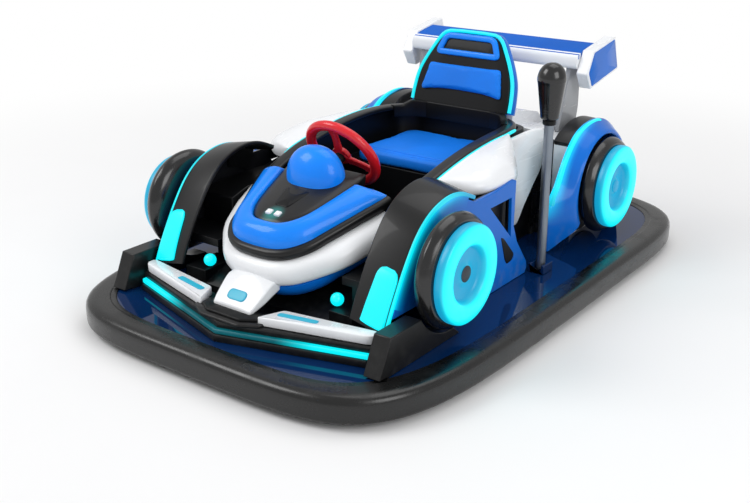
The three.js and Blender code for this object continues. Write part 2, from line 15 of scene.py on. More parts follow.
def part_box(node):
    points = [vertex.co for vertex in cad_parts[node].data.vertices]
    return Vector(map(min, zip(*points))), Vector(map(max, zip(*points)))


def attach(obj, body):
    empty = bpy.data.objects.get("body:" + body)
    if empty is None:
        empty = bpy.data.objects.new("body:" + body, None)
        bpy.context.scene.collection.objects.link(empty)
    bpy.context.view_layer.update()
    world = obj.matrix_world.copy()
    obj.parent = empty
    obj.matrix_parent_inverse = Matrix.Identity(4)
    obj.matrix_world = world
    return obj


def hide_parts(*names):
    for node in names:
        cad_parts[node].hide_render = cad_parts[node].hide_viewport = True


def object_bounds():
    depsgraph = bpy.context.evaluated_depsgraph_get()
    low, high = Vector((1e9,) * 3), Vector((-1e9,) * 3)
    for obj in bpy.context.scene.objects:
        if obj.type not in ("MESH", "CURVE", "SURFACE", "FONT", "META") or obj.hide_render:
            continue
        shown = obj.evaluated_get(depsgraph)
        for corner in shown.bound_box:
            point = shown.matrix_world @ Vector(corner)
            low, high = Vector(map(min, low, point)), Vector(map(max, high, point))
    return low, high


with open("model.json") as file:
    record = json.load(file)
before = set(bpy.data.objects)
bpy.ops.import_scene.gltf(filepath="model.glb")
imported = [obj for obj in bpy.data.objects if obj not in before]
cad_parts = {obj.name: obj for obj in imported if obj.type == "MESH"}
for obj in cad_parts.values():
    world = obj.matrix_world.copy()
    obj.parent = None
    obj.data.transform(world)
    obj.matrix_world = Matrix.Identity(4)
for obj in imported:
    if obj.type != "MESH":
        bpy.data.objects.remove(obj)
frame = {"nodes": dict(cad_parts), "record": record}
CAD_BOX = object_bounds()
MM = 0.001
SIDES = (("left", 1), ("right", -1))
BODY = "car_body"
scene = bpy.context.scene
print("frame box", [tuple(round(v, 3) for v in corner) for corner in CAD_BOX])


# %% [markdown]
# The camera stands in front of the car's left corner, a little above the bonnet. Its aim
# is written as a bearing and a dip, because those two angles are easy to read, and a
# direction vector turned into a rotation keeps it level.

# %% Camera
EYE = Vector((1583.9, -2260.2, 1133.6)) * MM
BEARING, DIP = math.radians(36.82), math.radians(21.26)
look = Vector(
    (
        -math.sin(BEARING) * math.cos(DIP),
        math.cos(BEARING) * math.cos(DIP),
        -math.sin(DIP),
    )
)
camera_data = bpy.data.cameras.new("studio_camera")
camera_data.sensor_width = 36.0
camera_data.lens = 49.64
camera = bpy.data.objects.new("studio_camera", camera_data)
camera.location = EYE
camera.rotation_euler = look.to_track_quat("-Z", "Y").to_euler()
scene.collection.objects.link(camera)
scene.camera = camera
scene.view_settings.view_transform = "Standard"
print("camera", tuple(round(v, 3) for v in camera.location), "lens", camera_data.lens)


# %% [markdown]
# Shader maths reads best as plain expressions. The small class below wraps one socket and
# overloads the operators, so `1 - mask * 0.3` adds its Math nodes by itself. Every other
# node comes from one method that takes the node's type, its settings and its sockets.

# %% A value in a shader, and the maker of nodes
class Value:
    def __init__(self, finish, socket):
        self.finish, self.socket = finish, socket

    def math(self, operation, *terms):
        node = self.finish.node("ShaderNodeMath", {"operation": operation}, dict(enumerate(terms)))
        return Value(self.finish, node.outputs[0])

    def __add__(self, other):
        return self.math("ADD", self, other)

    def __sub__(self, other):
        return self.math("SUBTRACT", self, other)

    def __rsub__(self, other):
        return self.math("SUBTRACT", other, self)

    def __mul__(self, other):
        return self.math("MULTIPLY", self, other)

    def __gt__(self, other):
        return self.math("GREATER_THAN", self, other)

    def __lt__(self, other):
        return self.math("LESS_THAN", self, other)

    def __abs__(self):
        return self.math("ABSOLUTE", self)

    def __pow__(self, other):
        return self.math("POWER", self, other)

    __radd__ = __add__
    __rmul__ = __mul__

    def ramp(self, low, high):
        sockets = {"Value": self, "From Min": low, "From Max": high}
        node = self.finish.node("ShaderNodeMapRange", {"interpolation_type": "SMOOTHSTEP"}, sockets)
        return Value(self.finish, node.outputs["Result"])


def linear(code):
    """A written colour such as 0x1E80F0 as the linear values that a shader wants."""
    parts = [((code >> shift) & 255) / 255 for shift in (16, 8, 0)]
    return tuple(c / 12.92 if c <= 0.04045 else ((c + 0.055) / 1.055) ** 2.4 for c in parts)


class Finish:
    def __init__(self, name):
        self.material = bpy.data.materials.new(name)
        self.material.use_nodes = True
        self.tree = self.material.node_tree
        self.shader = self.tree.nodes["Principled BSDF"]
        self.place = self.node("ShaderNodeTexCoord").outputs["Object"]

    def node(self, kind, settings=None, sockets=None):
        made = self.tree.nodes.new(kind)
        for key, value in (settings or {}).items():
            setattr(made, key, value)
        for key, value in (sockets or {}).items():
            self.feed(made.inputs[key], value)
        return made

    def feed(self, socket, value):
        if isinstance(value, Value):
            value = value.socket
        if isinstance(value, bpy.types.NodeSocket):
            self.tree.links.new(value, socket)
        elif isinstance(value, (tuple, list)) and len(value) == 3 and socket.type == "RGBA":
            socket.default_value = (*value, 1.0)
        else:
            socket.default_value = value

    def noise(self, scale, detail=3.0, roughness=0.5, stretch=None):
        place = self.place
        if stretch:
            place = self.node("ShaderNodeMapping", None, {"Vector": place, "Scale": stretch}).outputs[0]
        sockets = {"Vector": place, "Scale": scale, "Detail": detail, "Roughness": roughness}
        return Value(self, self.node("ShaderNodeTexNoise", None, sockets).outputs["Fac"])

    def axes(self):
        node = self.node("ShaderNodeSeparateXYZ", None, {0: self.place})
        return [Value(self, node.outputs[i]) for i in range(3)]

    def attribute(self, name):
        node = self.node("ShaderNodeAttribute", {"attribute_name": name})
        return Value(self, node.outputs["Fac"])

    def mix(self, factor, a, b):
        node = self.node("ShaderNodeMix", {"data_type": "RGBA"}, {"Factor": factor})
        self.feed(node.inputs[6], a)
        self.feed(node.inputs[7], b)
        return node.outputs[2]

    def bump(self, height, distance, strength=1.0):
        sockets = {"Height": height, "Distance": distance, "Strength": strength}
        return self.node("ShaderNodeBump", None, sockets).outputs[0]

    def set(self, **sockets):
        for key, value in sockets.items():
            self.feed(self.shader.inputs[key.replace("_", " ")], value)
        return self.material


print("shader helpers ready")


# %% [markdown]
# The shell is moulded plastic with a polished gel coat. Up close such a skin is never one
# flat colour: the pigment clouds slightly, the gloss breaks up where it was wiped, a fine
# orange peel bends the reflections, and dust gathers low down near the platform.

# %% Gel coat
DUST = linear(0x8A8A86)


def gel_coat(
    name, colour, rough=0.22, coat=0.35, spec=0.3, cloud=0.10, dust=0.22, marks=0.12, paint=None, light=None
):
    """paint(finish, colour) may replace the pigment; light(finish) may add a lit area."""
    f = Finish(name)
    pigment = linear(colour)
    deeper = tuple(c * (1 - cloud) for c in pigment)
    clouds = f.noise(5.0, 4.0).ramp(0.35, 0.7)
    base = f.mix(clouds, pigment, deeper)
    if paint:
        base = paint(f, base)
    height = f.axes()[2]
    grime = f.noise(38.0, 6.0, 0.6).ramp(0.42, 0.75)
    low = (1 - height.ramp(0.08, 0.2)) * grime * dust
    base = f.mix(low, base, DUST)
    wiped = f.noise(9.0, 5.0, 0.6, stretch=(1.0, 0.4, 1.6))
    scuffs = f.noise(120.0, 2.0, 0.4, stretch=(1.0, 0.08, 1.0)).ramp(0.66, 0.8)
    peel = f.noise(420.0, 2.0)
    if light:
        f.set(Emission_Color=light(f), Emission_Strength=0.9)
    return f.set(
        Base_Color=base,
        Specular_IOR_Level=spec,
        Roughness=rough + wiped * 0.1 + scuffs * marks + low * 0.4,
        Coat_Weight=coat,
        Coat_Roughness=0.06,
        Normal=f.bump(peel, 0.00012, 0.5),
    )


WHITE = gel_coat("white_gel_coat", 0xF1F3F6, cloud=0.05, dust=0.07, marks=0.03)
BLUE = gel_coat("bright_blue_gel_coat", 0x0688FF, rough=0.28, coat=0.3, spec=0.2)
DEEP_BLUE = gel_coat("deep_blue_gel_coat", 0x046CD2, rough=0.26, coat=0.25, spec=0.15)
CHARCOAL = gel_coat("charcoal_moulding", 0x151516, rough=0.3, coat=0.15, cloud=0.2, dust=0.05)
BLACK = gel_coat("black_moulding", 0x0C0D0F, rough=0.36, coat=0.06, spec=0.2, cloud=0.25, dust=0.06)
GREY = gel_coat("wing_stay_grey", 0x9A9CA0, rough=0.2, cloud=0.12)
print("gel coats", [m.name for m in (WHITE, BLUE, DEEP_BLUE, CHARCOAL, BLACK, GREY)])


# %% [markdown]
# The side panels are blue only outside: their inner faces were left black. One material
# can do both, by asking how far from the middle of the car a point lies.

# %% Two-colour panels
def black_inside(limit):
    def paint(f, base):
        across = abs(f.axes()[0])
        return f.mix(across > limit, linear(0x17181B), base)

    return paint


def blue_saddle(f, base):
    """The rear body is white, with a blue saddle across its highest part."""
    across, along, height = f.axes()
    saddle = (height > 0.404) * (abs(across) < 0.13)
    low = height < 0.2
    dark = low.math("MAXIMUM", low, abs(across) < 0.284)
    foot = (along < 0.36) * (height < 0.366) * dark
    return f.mix(foot, f.mix(saddle, base, linear(0x046CD2)), linear(0x101114))


def glowing(f):
    """Light that spills over paint beside a lamp, read from the points' glow number."""
    return f.mix(f.attribute("glow"), (0.0, 0.0, 0.0), linear(0x04E4F0))


def painted_lamp_glow(f):
    """Painted lamp light: a soft teal glow in the bonnet's paint around its two small lamps."""
    across, along, height = f.axes()
    away = (across * across + (along + 0.548) * (along + 0.548)) ** 0.5
    return f.mix((1 - away.ramp(0.006, 0.034)) * 0.5, (0.0, 0.0, 0.0), linear(0x2FB8B4))


PANEL_BLUE = gel_coat(
    "side_panel_paint", 0x046CD2, rough=0.26, coat=0.25, spec=0.15, paint=black_inside(0.3615)
)
LIT_BLUE = gel_coat("lit_blue_gel_coat", 0x046CD2, rough=0.26, coat=0.25, spec=0.15, light=glowing)
# The bonnet panel carries painted lamp light, a teal glow in its paint round the two small lamps.
HOOD = gel_coat("bonnet_panel", 0x19191A, rough=0.3, coat=0.2, cloud=0.2, light=painted_lamp_glow)
REAR_WHITE = gel_coat("rear_body_paint", 0xEEF0F3, cloud=0.06, paint=blue_saddle)
print("two-colour paints", PANEL_BLUE.name, REAR_WHITE.name)


# %% [markdown]
# Rubber, tyre, vinyl, steel and the deck's lacquer each need their own scale of detail:
# a coarse scuffed skin for the bumper, a fine pebble for the vinyl, long brush lines for
# the lever and a near mirror for the deck.

# %% Rubber, tyre, vinyl, steel, lacquer
def rubber(name, colour, rough, grain=260.0, depth=0.0004, coat=0.25):
    f = Finish(name)
    worn = f.noise(14.0, 6.0, 0.65).ramp(0.45, 0.72)
    base = f.mix(worn * 0.5, linear(colour), tuple(c * 1.6 + 0.002 for c in linear(colour)))
    streak = f.noise(60.0, 3.0, 0.5, stretch=(0.2, 0.2, 3.0)).ramp(0.5, 0.8)
    return f.set(
        Base_Color=base,
        Roughness=rough + worn * 0.16 + streak * 0.08,
        Coat_Weight=coat,
        Coat_Roughness=0.22,
        Normal=f.bump(f.noise(grain, 3.0), depth, 0.4),
    )


def vinyl(name, colour):
    f = Finish(name)
    pebbles = f.node(
        "ShaderNodeTexVoronoi", {"feature": "DISTANCE_TO_EDGE"}, {"Vector": f.place, "Scale": 620.0}
    )
    pebble = Value(f, pebbles.outputs["Distance"]).ramp(0.0, 0.3)
    soft = f.noise(6.0, 4.0).ramp(0.3, 0.75)
    base = f.mix(soft, linear(colour), tuple(c * 0.84 for c in linear(colour)))
    return f.set(
        Base_Color=f.mix((1 - pebble) * 0.16, base, tuple(c * 0.55 for c in linear(colour))),
        Roughness=0.52 - soft * 0.08 + (1 - pebble) * 0.1,
        Normal=f.bump(pebble, 0.00022, 0.5),
        Specular_IOR_Level=0.3,
    )


def brushed(name, colour, rough=0.32):
    f = Finish(name)
    lines = f.noise(300.0, 3.0, 0.6, stretch=(1.0, 1.0, 0.03))
    stain = f.noise(12.0, 5.0, 0.6).ramp(0.4, 0.8)
    base = f.mix(stain * 0.6, linear(colour), tuple(c * 0.7 for c in linear(colour)))
    return f.set(
        Base_Color=base,
        Metallic=0.85,
        Roughness=rough + lines * 0.14 + stain * 0.1,
        Normal=f.bump(lines, 0.00008, 0.35),
    )


def lacquer(name, colour):
    f = Finish(name)
    flake = f.noise(900.0, 1.0, 0.3).ramp(0.6, 0.8)
    pool = f.noise(3.0, 3.0).ramp(0.3, 0.8)
    base = f.mix(flake * 0.25 + pool * 0.2, linear(colour), linear(0x1A4A86))
    swirl = f.noise(30.0, 4.0, 0.6, stretch=(1.0, 0.25, 1.0)).ramp(0.55, 0.85)
    return f.set(
        Base_Color=base,
        Roughness=0.035 + swirl * 0.05,
        Specular_IOR_Level=0.32,
        Normal=f.bump(f.noise(260.0, 2.0), 0.00003, 0.3),
    )


BUMPER = rubber("bumper_rubber", 0x0B0B0B, 0.24, coat=0.1)
TYRE = rubber("tyre_gloss", 0x141415, 0.14, grain=500.0, depth=0.0001)
TREAD = rubber("drive_wheel_rubber", 0x202020, 0.5)
VINYL = vinyl("blue_vinyl", 0x0482FA)
LEVER_STEEL = brushed("lever_steel", 0x868E98)
FRAME_STEEL = brushed("frame_steel", 0x4C5157, rough=0.42)
DECK = lacquer("deck_lacquer", 0x04214A)
RED = gel_coat("wheel_rim_red", 0xDE1E2A, rough=0.24, coat=0.45)
print("finishes", [m.name for m in (BUMPER, TYRE, TREAD, VINYL, LEVER_STEEL, FRAME_STEEL, DECK, RED)])


# %% [markdown]
# The lamps are milky lenses lit from behind. They are brightest in the middle of the lens
# and turn teal toward the edge, so each lens carries a number called glow on its points,
# from 0 at the housing to 1 where it is fully lit.

# %% Lamp lens
def lens(name, lit, dim, strength):
    f = Finish(name)
    glow = f.attribute("glow")
    mottle = f.noise(45.0, 3.0).ramp(0.25, 0.8)
    colour = f.mix(glow.math("MULTIPLY", glow, 1 - mottle * 0.06), linear(dim), linear(lit))
    return f.set(
        Base_Color=f.mix(mottle * 0.5, (0.0, 0.09, 0.12), (0.0, 0.13, 0.17)),
        Roughness=0.3 + mottle * 0.08,
        Emission_Color=colour,
        Emission_Strength=strength,
        Normal=f.bump(f.noise(300.0, 2.0), 0.0001, 0.3),
    )


CYAN = lens("cyan_lamp_lens", 0x04F6FF, 0x1590C0, 0.95)
SPOT = lens("teal_spot_lens", 0x35B6D6, 0x1C86B4, 0.75)
STRIP = lens("wing_strip_lens", 0x04F6FF, 0x053C40, 0.95)
print("lenses", CYAN.name, SPOT.name, STRIP.name)


# %% [markdown]
# Most shapes here are lofts: a row of closed rings of points, joined by quads and closed at
# the ends. Corners of a ring are softened first, because a sharp moulded edge has no
# highlight and looks like cardboard.


def clamp(value):
    return max(0.0, min(1.0, value))


def circle(count, across, along=None):
    """Points round a circle, or round an ellipse when two radii are given."""
    turns = [math.tau * i / count for i in range(count)]
    return [(across * math.cos(a), (along or across) * math.sin(a)) for a in turns]


def put(name, points, faces, smooth):
    """A new piece from points in millimetres, facing outward, sharp above the angle smooth."""
    mesh = bpy.data.meshes.new(name)
    mesh.from_pydata([Vector(p) * MM for p in points], [], faces)
    shape = bmesh.new()
    shape.from_mesh(mesh)
    bmesh.ops.remove_doubles(shape, verts=shape.verts, dist=1e-6)
    bmesh.ops.recalc_face_normals(shape, faces=shape.faces)
    shape.to_mesh(mesh)
    shape.free()
    mesh.shade_smooth()
    mesh.set_sharp_from_angle(angle=math.radians(smooth))
    made = bpy.data.objects.new(name, mesh)
    scene.collection.objects.link(made)
    return made


def loft(name, rings, closed=False, smooth=38.0):
    """A skin over rings of equal length; closed joins the last ring to the first."""
    count, around = len(rings), len(rings[0])
    points = [p for ring in rings for p in ring]
    faces = []
    for i in range(count if closed else count - 1):
        a, b = i * around, ((i + 1) % count) * around
        for j in range(around):
            k = (j + 1) % around
            faces.append((a + j, a + k, b + k, b + j))
    if not closed:
        faces.append(tuple(range(around)))
        faces.append(tuple((count - 1) * around + j for j in range(around)))
    return put(name, points, faces, smooth)


def soften(corners, radius, steps=4):
    """The outline with each corner replaced by a short curve. radius may be a list."""
    out = []
    n = len(corners)
    for i, corner in enumerate(corners):
        p = Vector(corner)
        r = radius[i] if isinstance(radius, (list, tuple)) else radius
        if r <= 0:
            out.append(tuple(p))
            continue
        a, b = Vector(corners[i - 1]) - p, Vector(corners[(i + 1) % n]) - p
        start = p + a.normalized() * min(r, a.length * 0.48)
        end = p + b.normalized() * min(r, b.length * 0.48)
        for k in range(steps + 1):
            t = k / steps
            out.append(tuple(start * (1 - t) ** 2 + p * 2 * t * (1 - t) + end * t * t))
    return out


def smooth_line(points, steps=8, closed=False):
    """A smooth curve through points of two or three numbers, by the Catmull-Rom rule."""
    pts = [Vector(p) for p in points]
    n = len(pts)
    out = []
    for i in range(n if closed else n - 1):
        if closed:
            a, b, c, d = (pts[(i + k) % n] for k in (-1, 0, 1, 2))
        else:
            a, b, c, d = pts[max(i - 1, 0)], pts[i], pts[i + 1], pts[min(i + 2, n - 1)]
        for k in range(steps):
            t = k / steps
            curve = 2 * b + (c - a) * t + (2 * a - 5 * b + 4 * c - d) * t * t
            out.append(0.5 * (curve + (3 * b - 3 * c + d - a) * t**3))
    if not closed:
        out.append(pts[-1])
    return [tuple(p) for p in out]


def normals_2d(points, closed=False):
    """Unit vectors to the left of the direction of travel."""
    n = len(points)
    out = []
    for i in range(n):
        a = points[i - 1] if closed or i > 0 else points[0]
        b = points[(i + 1) % n] if closed or i < n - 1 else points[-1]
        d = Vector((b[0] - a[0], b[1] - a[1])).normalized()
        out.append((-d.y, d.x))
    return out


def wear(piece, material, body=BODY, instead=None, glow=None):
    """Gives a piece its finish and body, and hides the CAD node that it stands for.

    glow is a number for the whole piece, or a rule from a point's number and its place in
    millimetres."""
    if glow is not None:
        layer = piece.data.attributes.new("glow", "FLOAT", "POINT")
        for i, v in enumerate(piece.data.vertices):
            layer.data[i].value = glow(i, v.co / MM) if callable(glow) else glow
    piece.data.materials.clear()
    piece.data.materials.append(material)
    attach(piece, body)
    if instead:
        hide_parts(instead)
    return piece


def middle(node):
    low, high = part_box(node)
    return (low + high) / 2 / MM


def skin(node, bevel):
    """A merged copy of a CAD node with softened edges, which then stands for the node."""
    edge_angle = math.radians(35.0)
    source = frame["nodes"][node]
    mesh = source.data.copy()
    shape = bmesh.new()
    shape.from_mesh(mesh)
    bmesh.ops.remove_doubles(shape, verts=shape.verts, dist=2e-5)
    nearly_flat = math.radians(1.0)
    bmesh.ops.dissolve_limit(shape, angle_limit=nearly_flat, verts=shape.verts, edges=shape.edges)
    shape.to_mesh(mesh)
    shape.free()
    mesh.shade_smooth()
    mesh.set_sharp_from_angle(angle=edge_angle)
    made = bpy.data.objects.new(node + "_skin", mesh)
    scene.collection.objects.link(made)
    softener = made.modifiers.new("softened_edges", "BEVEL")
    softener.width, softener.segments = bevel * MM, 2
    softener.limit_method, softener.angle_limit = "ANGLE", edge_angle
    return made


def body_of(node):
    return next(b for b, nodes in frame["record"]["behaviour"]["bodies"].items() if node in nodes)


print("modelling helpers ready")


# %% [markdown]
# The rubber bumper is one ring that runs round the whole platform. Its plan is a
# superellipse, squarer behind than in front, so it is lofted along that curve with a
# section that has a large round on the outer top edge and a small step down to the deck.

# %% Bumper ring
HALF_W, HALF_L = CAD_BOX[1].x / MM, CAD_BOX[1].y / MM


def plan(inset):
    """The platform's outline drawn in by a distance, anticlockwise from the nose."""
    steps = 44

    def half(ex, ey, sign):
        turns = [math.pi / 2 * i / steps for i in range(steps + 1)]
        a, b = HALF_W - inset, HALF_L - inset
        return [(a * math.cos(t) ** (2 / ex), sign * b * math.sin(t) ** (2 / ey)) for t in turns]

    front = half(4.9, 4.8, -1)[::-1]
    rear = half(2.8, 8.0, 1)[1:]
    right = front + rear
    right = [(0.0, p[1]) if i in (0, len(right) - 1) else p for i, p in enumerate(right)]
    return right + [(-x, y) for x, y in right[-2:0:-1]]


low, high = (v.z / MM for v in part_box("bumper_ring"))
section = soften(
    [(0, low), (0, high), (50, high), (52, high - 1.8), (64.3, high - 2.2), (64.3, low)],
    [13, 24, 2, 1, 1.5, 8],
    5,
)
lanes = [[(x, y, z) for x, y in plan(s)] for s, z in section]
rings = [list(ring) for ring in zip(*lanes)]
bumper = wear(loft("bumper_ring_skin", rings, closed=True), BUMPER, instead="bumper_ring")
print("bumper", len(bumper.data.polygons), "faces")


# %% [markdown]
# A row of bolts under the rubber holds it to the platform. Repeated things like these come
# from a Geometry Nodes tree: it resamples a curve, sets one small head on each point and
# ends in Realize Instances and Set Material, so that a plain mesh can be taken from it.
# The same tree makes stitches when its pieces are turned to lie along the curve.

# %% A Geometry Nodes tree for rows of small things
def row_tree(name, material, sides, bevelled, lengthwise=False):
    """bevelled is the top's share of the bottom radius; lengthwise turns the heads along."""
    tree = bpy.data.node_groups.new(name, "GeometryNodeTree")
    face = tree.interface
    face.new_socket("Geometry", in_out="INPUT", socket_type="NodeSocketGeometry")
    for title, value in (("Spacing", 0.05), ("Radius", 0.004), ("Height", 0.002)):
        face.new_socket(title, in_out="INPUT", socket_type="NodeSocketFloat").default_value = value
    face.new_socket("Geometry", in_out="OUTPUT", socket_type="NodeSocketGeometry")
    add, link = tree.nodes.new, tree.links.new
    group_in, group_out = add("NodeGroupInput"), add("NodeGroupOutput")
    points = add("GeometryNodeCurveToPoints")
    points.mode = "LENGTH"
    head = add("GeometryNodeMeshCone")
    head.inputs["Vertices"].default_value = sides
    head.inputs["Side Segments"].default_value = 1
    narrow = add("ShaderNodeMath")
    narrow.operation = "MULTIPLY"
    narrow.inputs[1].default_value = bevelled
    copies = add("GeometryNodeInstanceOnPoints")
    real, paint = add("GeometryNodeRealizeInstances"), add("GeometryNodeSetMaterial")
    paint.inputs["Material"].default_value = material
    link(group_in.outputs["Geometry"], points.inputs["Curve"])
    link(group_in.outputs["Spacing"], points.inputs["Length"])
    link(group_in.outputs["Radius"], head.inputs["Radius Bottom"])
    link(group_in.outputs["Radius"], narrow.inputs[0])
    link(narrow.outputs[0], head.inputs["Radius Top"])
    link(group_in.outputs["Height"], head.inputs["Depth"])
    link(points.outputs["Points"], copies.inputs["Points"])
    link(head.outputs["Mesh"], copies.inputs["Instance"])
    if lengthwise:
        link(points.outputs["Rotation"], copies.inputs["Rotation"])
    link(copies.outputs["Instances"], real.inputs["Geometry"])
    link(real.outputs["Geometry"], paint.inputs["Geometry"])
    link(paint.outputs["Geometry"], group_out.inputs["Geometry"])
    return tree


def row_along(name, tree, path, closed, slot, **sizes):
    """Small things set along a path in millimetres; returns one plain mesh piece."""
    mesh = bpy.data.meshes.new(name + "_path")
    n = len(path)
    edges = [(i, (i + 1) % n) for i in range(n if closed else n - 1)]
    mesh.from_pydata([Vector(p) * MM for p in path], edges, [])
    guide = bpy.data.objects.new(name + "_guide", mesh)
    scene.collection.objects.link(guide)
    for other in bpy.context.selected_objects:
        other.select_set(False)
    bpy.context.view_layer.objects.active = guide
    guide.select_set(True)
    bpy.ops.object.convert(target="CURVE")
    guide = bpy.context.view_layer.objects.active
    modifier = guide.modifiers.new("row", "NODES")
    modifier.node_group = tree
    for item in tree.interface.items_tree:
        if item.in_out == "INPUT" and item.name.lower() in sizes:
            modifier[item.identifier] = sizes[item.name.lower()] * MM
    evaluated = guide.evaluated_get(bpy.context.evaluated_depsgraph_get())
    result = bpy.data.meshes.new_from_object(evaluated)
    bpy.data.objects.remove(guide)
    made = bpy.data.objects.new(name, result)
    scene.collection.objects.link(made)
    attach(made, BODY)
    return made


BOLTS = row_tree("bolt_row", FRAME_STEEL, 12, 0.8)
STITCHES = row_tree("stitch_row", VINYL, 6, 0.9, lengthwise=True)
lane = [(x, y, low - 2.5) for x, y in plan(38.0)]
bolts = row_along("bumper_bolts", BOLTS, lane, True, "bare_steel", spacing=150.0, radius=7.0, height=3.2)
print("bumper bolts", len(bolts.data.polygons), "faces")


# %% [markdown]
# The bonnet lies on a plane that climbs toward the cockpit. Its pieces are drawn flat in
# that plane and then tilted onto it: a dark rim, a fat blue band, a dark middle panel that
# arches across, and the domed cover over the steering column.

# %% The bonnet's own plane
COWL_TILT = math.atan(0.355)
COWL_PLACE = Matrix.Translation((0, -450, 326)) @ Matrix.Rotation(COWL_TILT, 4, "X")
band_edge = smooth_line(
    [(0, -176), (50, -172), (88, -155), (118, -118), (136, -70), (167, 16), (190, 80), (194, 100)], 7
)
inner_edge = smooth_line([(0, -122), (34, -118), (60, -100), (82, -62), (98, 0), (112, 70), (116, 100)], 8)


def tilted(x, y, h):
    return tuple(COWL_PLACE @ Vector((x, y, h)))


def arch(x):
    return 26.0 * (1 - (x / 200.0) ** 2)


def grown(edge, by):
    """The half outline moved outward by a distance, from the nose to the back."""
    sides = normals_2d(edge)
    return [
        (max(0.0, x - n[0] * by) if i else 0.0, y - n[1] * by)
        for i, ((x, y), n) in enumerate(zip(edge, sides))
    ]


def mirrored(half):
    """A whole line from its half at +X, right round the nose."""
    return [(-x, y) for x, y in half[:0:-1]] + half


def both_sides(half):
    """A whole outline from its half at +X, closed by a point in the middle of the back."""
    return mirrored(half) + [(0.0, half[-1][1])]


def slab(name, edge, levels):
    """A stack of outlines: levels are pairs of growth and height."""
    return loft(name, [[tilted(x, y, h) for x, y in both_sides(grown(edge, by))] for by, h in levels])


rim = slab(
    "cowl_rim_skin",
    band_edge,
    [(4, -26), (10, -25.5), (14, -22), (15, -16), (15, -9), (13, -4), (9, -1), (4, 0.5), (-4, 1)],
)
wear(rim, CHARCOAL)
print("cowl rim", len(rim.data.polygons), "faces")


# %% [markdown]
# The blue band is fat and round like a hose, so its section is carried between two lines,
# its outer and its inner edge, each cut into the same number of steps. The dark panel
# fills the inner line and arches across; its rings shrink like the contours of a hill.

# %% Blue band and dark middle panel
def resampled(edge, count):
    """The same line cut into equal steps."""
    lengths = [0.0]
    for a, b in zip(edge, edge[1:]):
        lengths.append(lengths[-1] + math.dist(a, b))
    out = []
    for k in range(count):
        want = lengths[-1] * k / (count - 1)
        i = max(next(j for j, v in enumerate(lengths) if v >= want - 1e-9), 1)
        t = (want - lengths[i - 1]) / max(lengths[i] - lengths[i - 1], 1e-9)
        out.append(tuple(a + (b - a) * t for a, b in zip(edge[i - 1], edge[i])))
    return out


STATIONS = 44
outer_full, inner_full = (mirrored(resampled(edge, STATIONS)) for edge in (band_edge, inner_edge))
crown = [(0.0, 1.0), (0.0, 7.0), (0.05, 11.5), (0.16, 15.5), (0.34, 18.0), (0.55, 18.0), (0.76, 15.0)]
crown += [(0.9, 10.0), (0.975, 4.5), (1.0, 0.8)]
rings = []
for k, ((ox, oy), (ix, iy)) in enumerate(zip(outer_full, inner_full)):
    end = min(k, len(outer_full) - 1 - k) / 3.0
    fade = min(1.0, 0.35 + 0.65 * min(1.0, end))
    ring = []
    for t, h in crown:
        x, y = ix + (ox - ix) * t, iy + (oy - iy) * t
        rise = arch(x) * (1 - t**3 * 0.75) if h > 1 else 0.0
        ring.append(tilted(x, y, (h + rise) * fade if h > 1 else h))
    rings.append(ring)
band = wear(loft("cowl_band_skin", rings, smooth=50), BLUE, instead="cowl_band")

HOOD_BACK = 134.0
shrink = [(1.0, 2), (1.0, 4), (0.985, 6.5), (0.9, 8.5), (0.72, 9.5), (0.5, 10.5), (0.26, 12.0), (0.1, 13.0)]
hood_edge = inner_full + [(inner_full[-1][0] * 0.985, HOOD_BACK), (inner_full[0][0] * 0.985, HOOD_BACK)]
rings = [[tilted(x * 0.94, 40 + (y - 40) * 0.94, -3) for x, y in hood_edge]]
for k, h in shrink:
    rings.append([tilted(x * k * 0.985, 40 + (y - 40) * k * 0.985, h + arch(x * k)) for x, y in hood_edge])
hood = wear(loft("cowl_panel_skin", rings, smooth=50), HOOD, instead="cowl_panel")
print("band and panel", len(band.data.polygons), len(hood.data.polygons))


# %% [markdown]
# The dome over the steering column is half an ellipsoid on a short collar. A flat strake
# and two plain square lamps lie in front of it. They could be painted on, but a few
# millimetres of thickness catch the light and give a true edge.

# %% Dome, bonnet strake and its two small plain lamps
COLLAR_LOW, COLLAR_TOP = 366.0, 380.0
dome_low, dome_high = (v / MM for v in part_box("cowl_dome"))
mid = (dome_low + dome_high) / 2
rise, wide, deep = dome_high.z - COLLAR_TOP, (dome_high.x - dome_low.x) / 2, (dome_high.y - dome_low.y) / 2
rings = [[(mid.x + x, mid.y + y, COLLAR_LOW) for x, y in circle(56, wide, deep)]]
for i in range(18):
    t = math.pi / 2 * i / 17
    r, h = max(math.cos(t), 0.003) ** 0.86, math.sin(t) ** 1.06
    rings.append([(mid.x + x, mid.y + y, COLLAR_TOP + rise * h) for x, y in circle(56, wide * r, deep * r)])
dome = wear(loft("cowl_dome_skin", rings, smooth=60), BLUE, instead="cowl_dome")

strake = soften([(-20, -62), (20, -62), (38, 8), (-38, 8)], 7)
rings = [
    [tilted(x * k, -27 + (y + 27) * k, h + arch(x)) for x, y in strake]
    for k, h in ((1.0, 7), (1.0, 10.8), (0.95, 11.8), (0.05, 12.4))
]
wear(loft("cowl_strake", rings), BLACK)
for n, cx in enumerate((-13.0, 14.0)):
    chip = soften([(cx - 8, -98), (cx + 8, -98), (cx + 8, -82), (cx - 8, -82)], 2.5)
    rings = [
        [tilted(cx + (x - cx) * k, -90 + (y + 90) * k, h + arch(x)) for x, y in chip]
        for k, h in ((1, 6), (1, 11.5), (0.86, 13), (0.1, 13.2))
    ]
    wear(loft(f"cowl_lamp_{n}", rings), WHITE)
print("dome", len(dome.data.polygons), "faces")


# %% [markdown]
# Under the rim the nose is a white shell that flares out and then tucks in, with a lower
# tip like a beak. A blue band below it is drawn in further, so that it reads as shadowed.

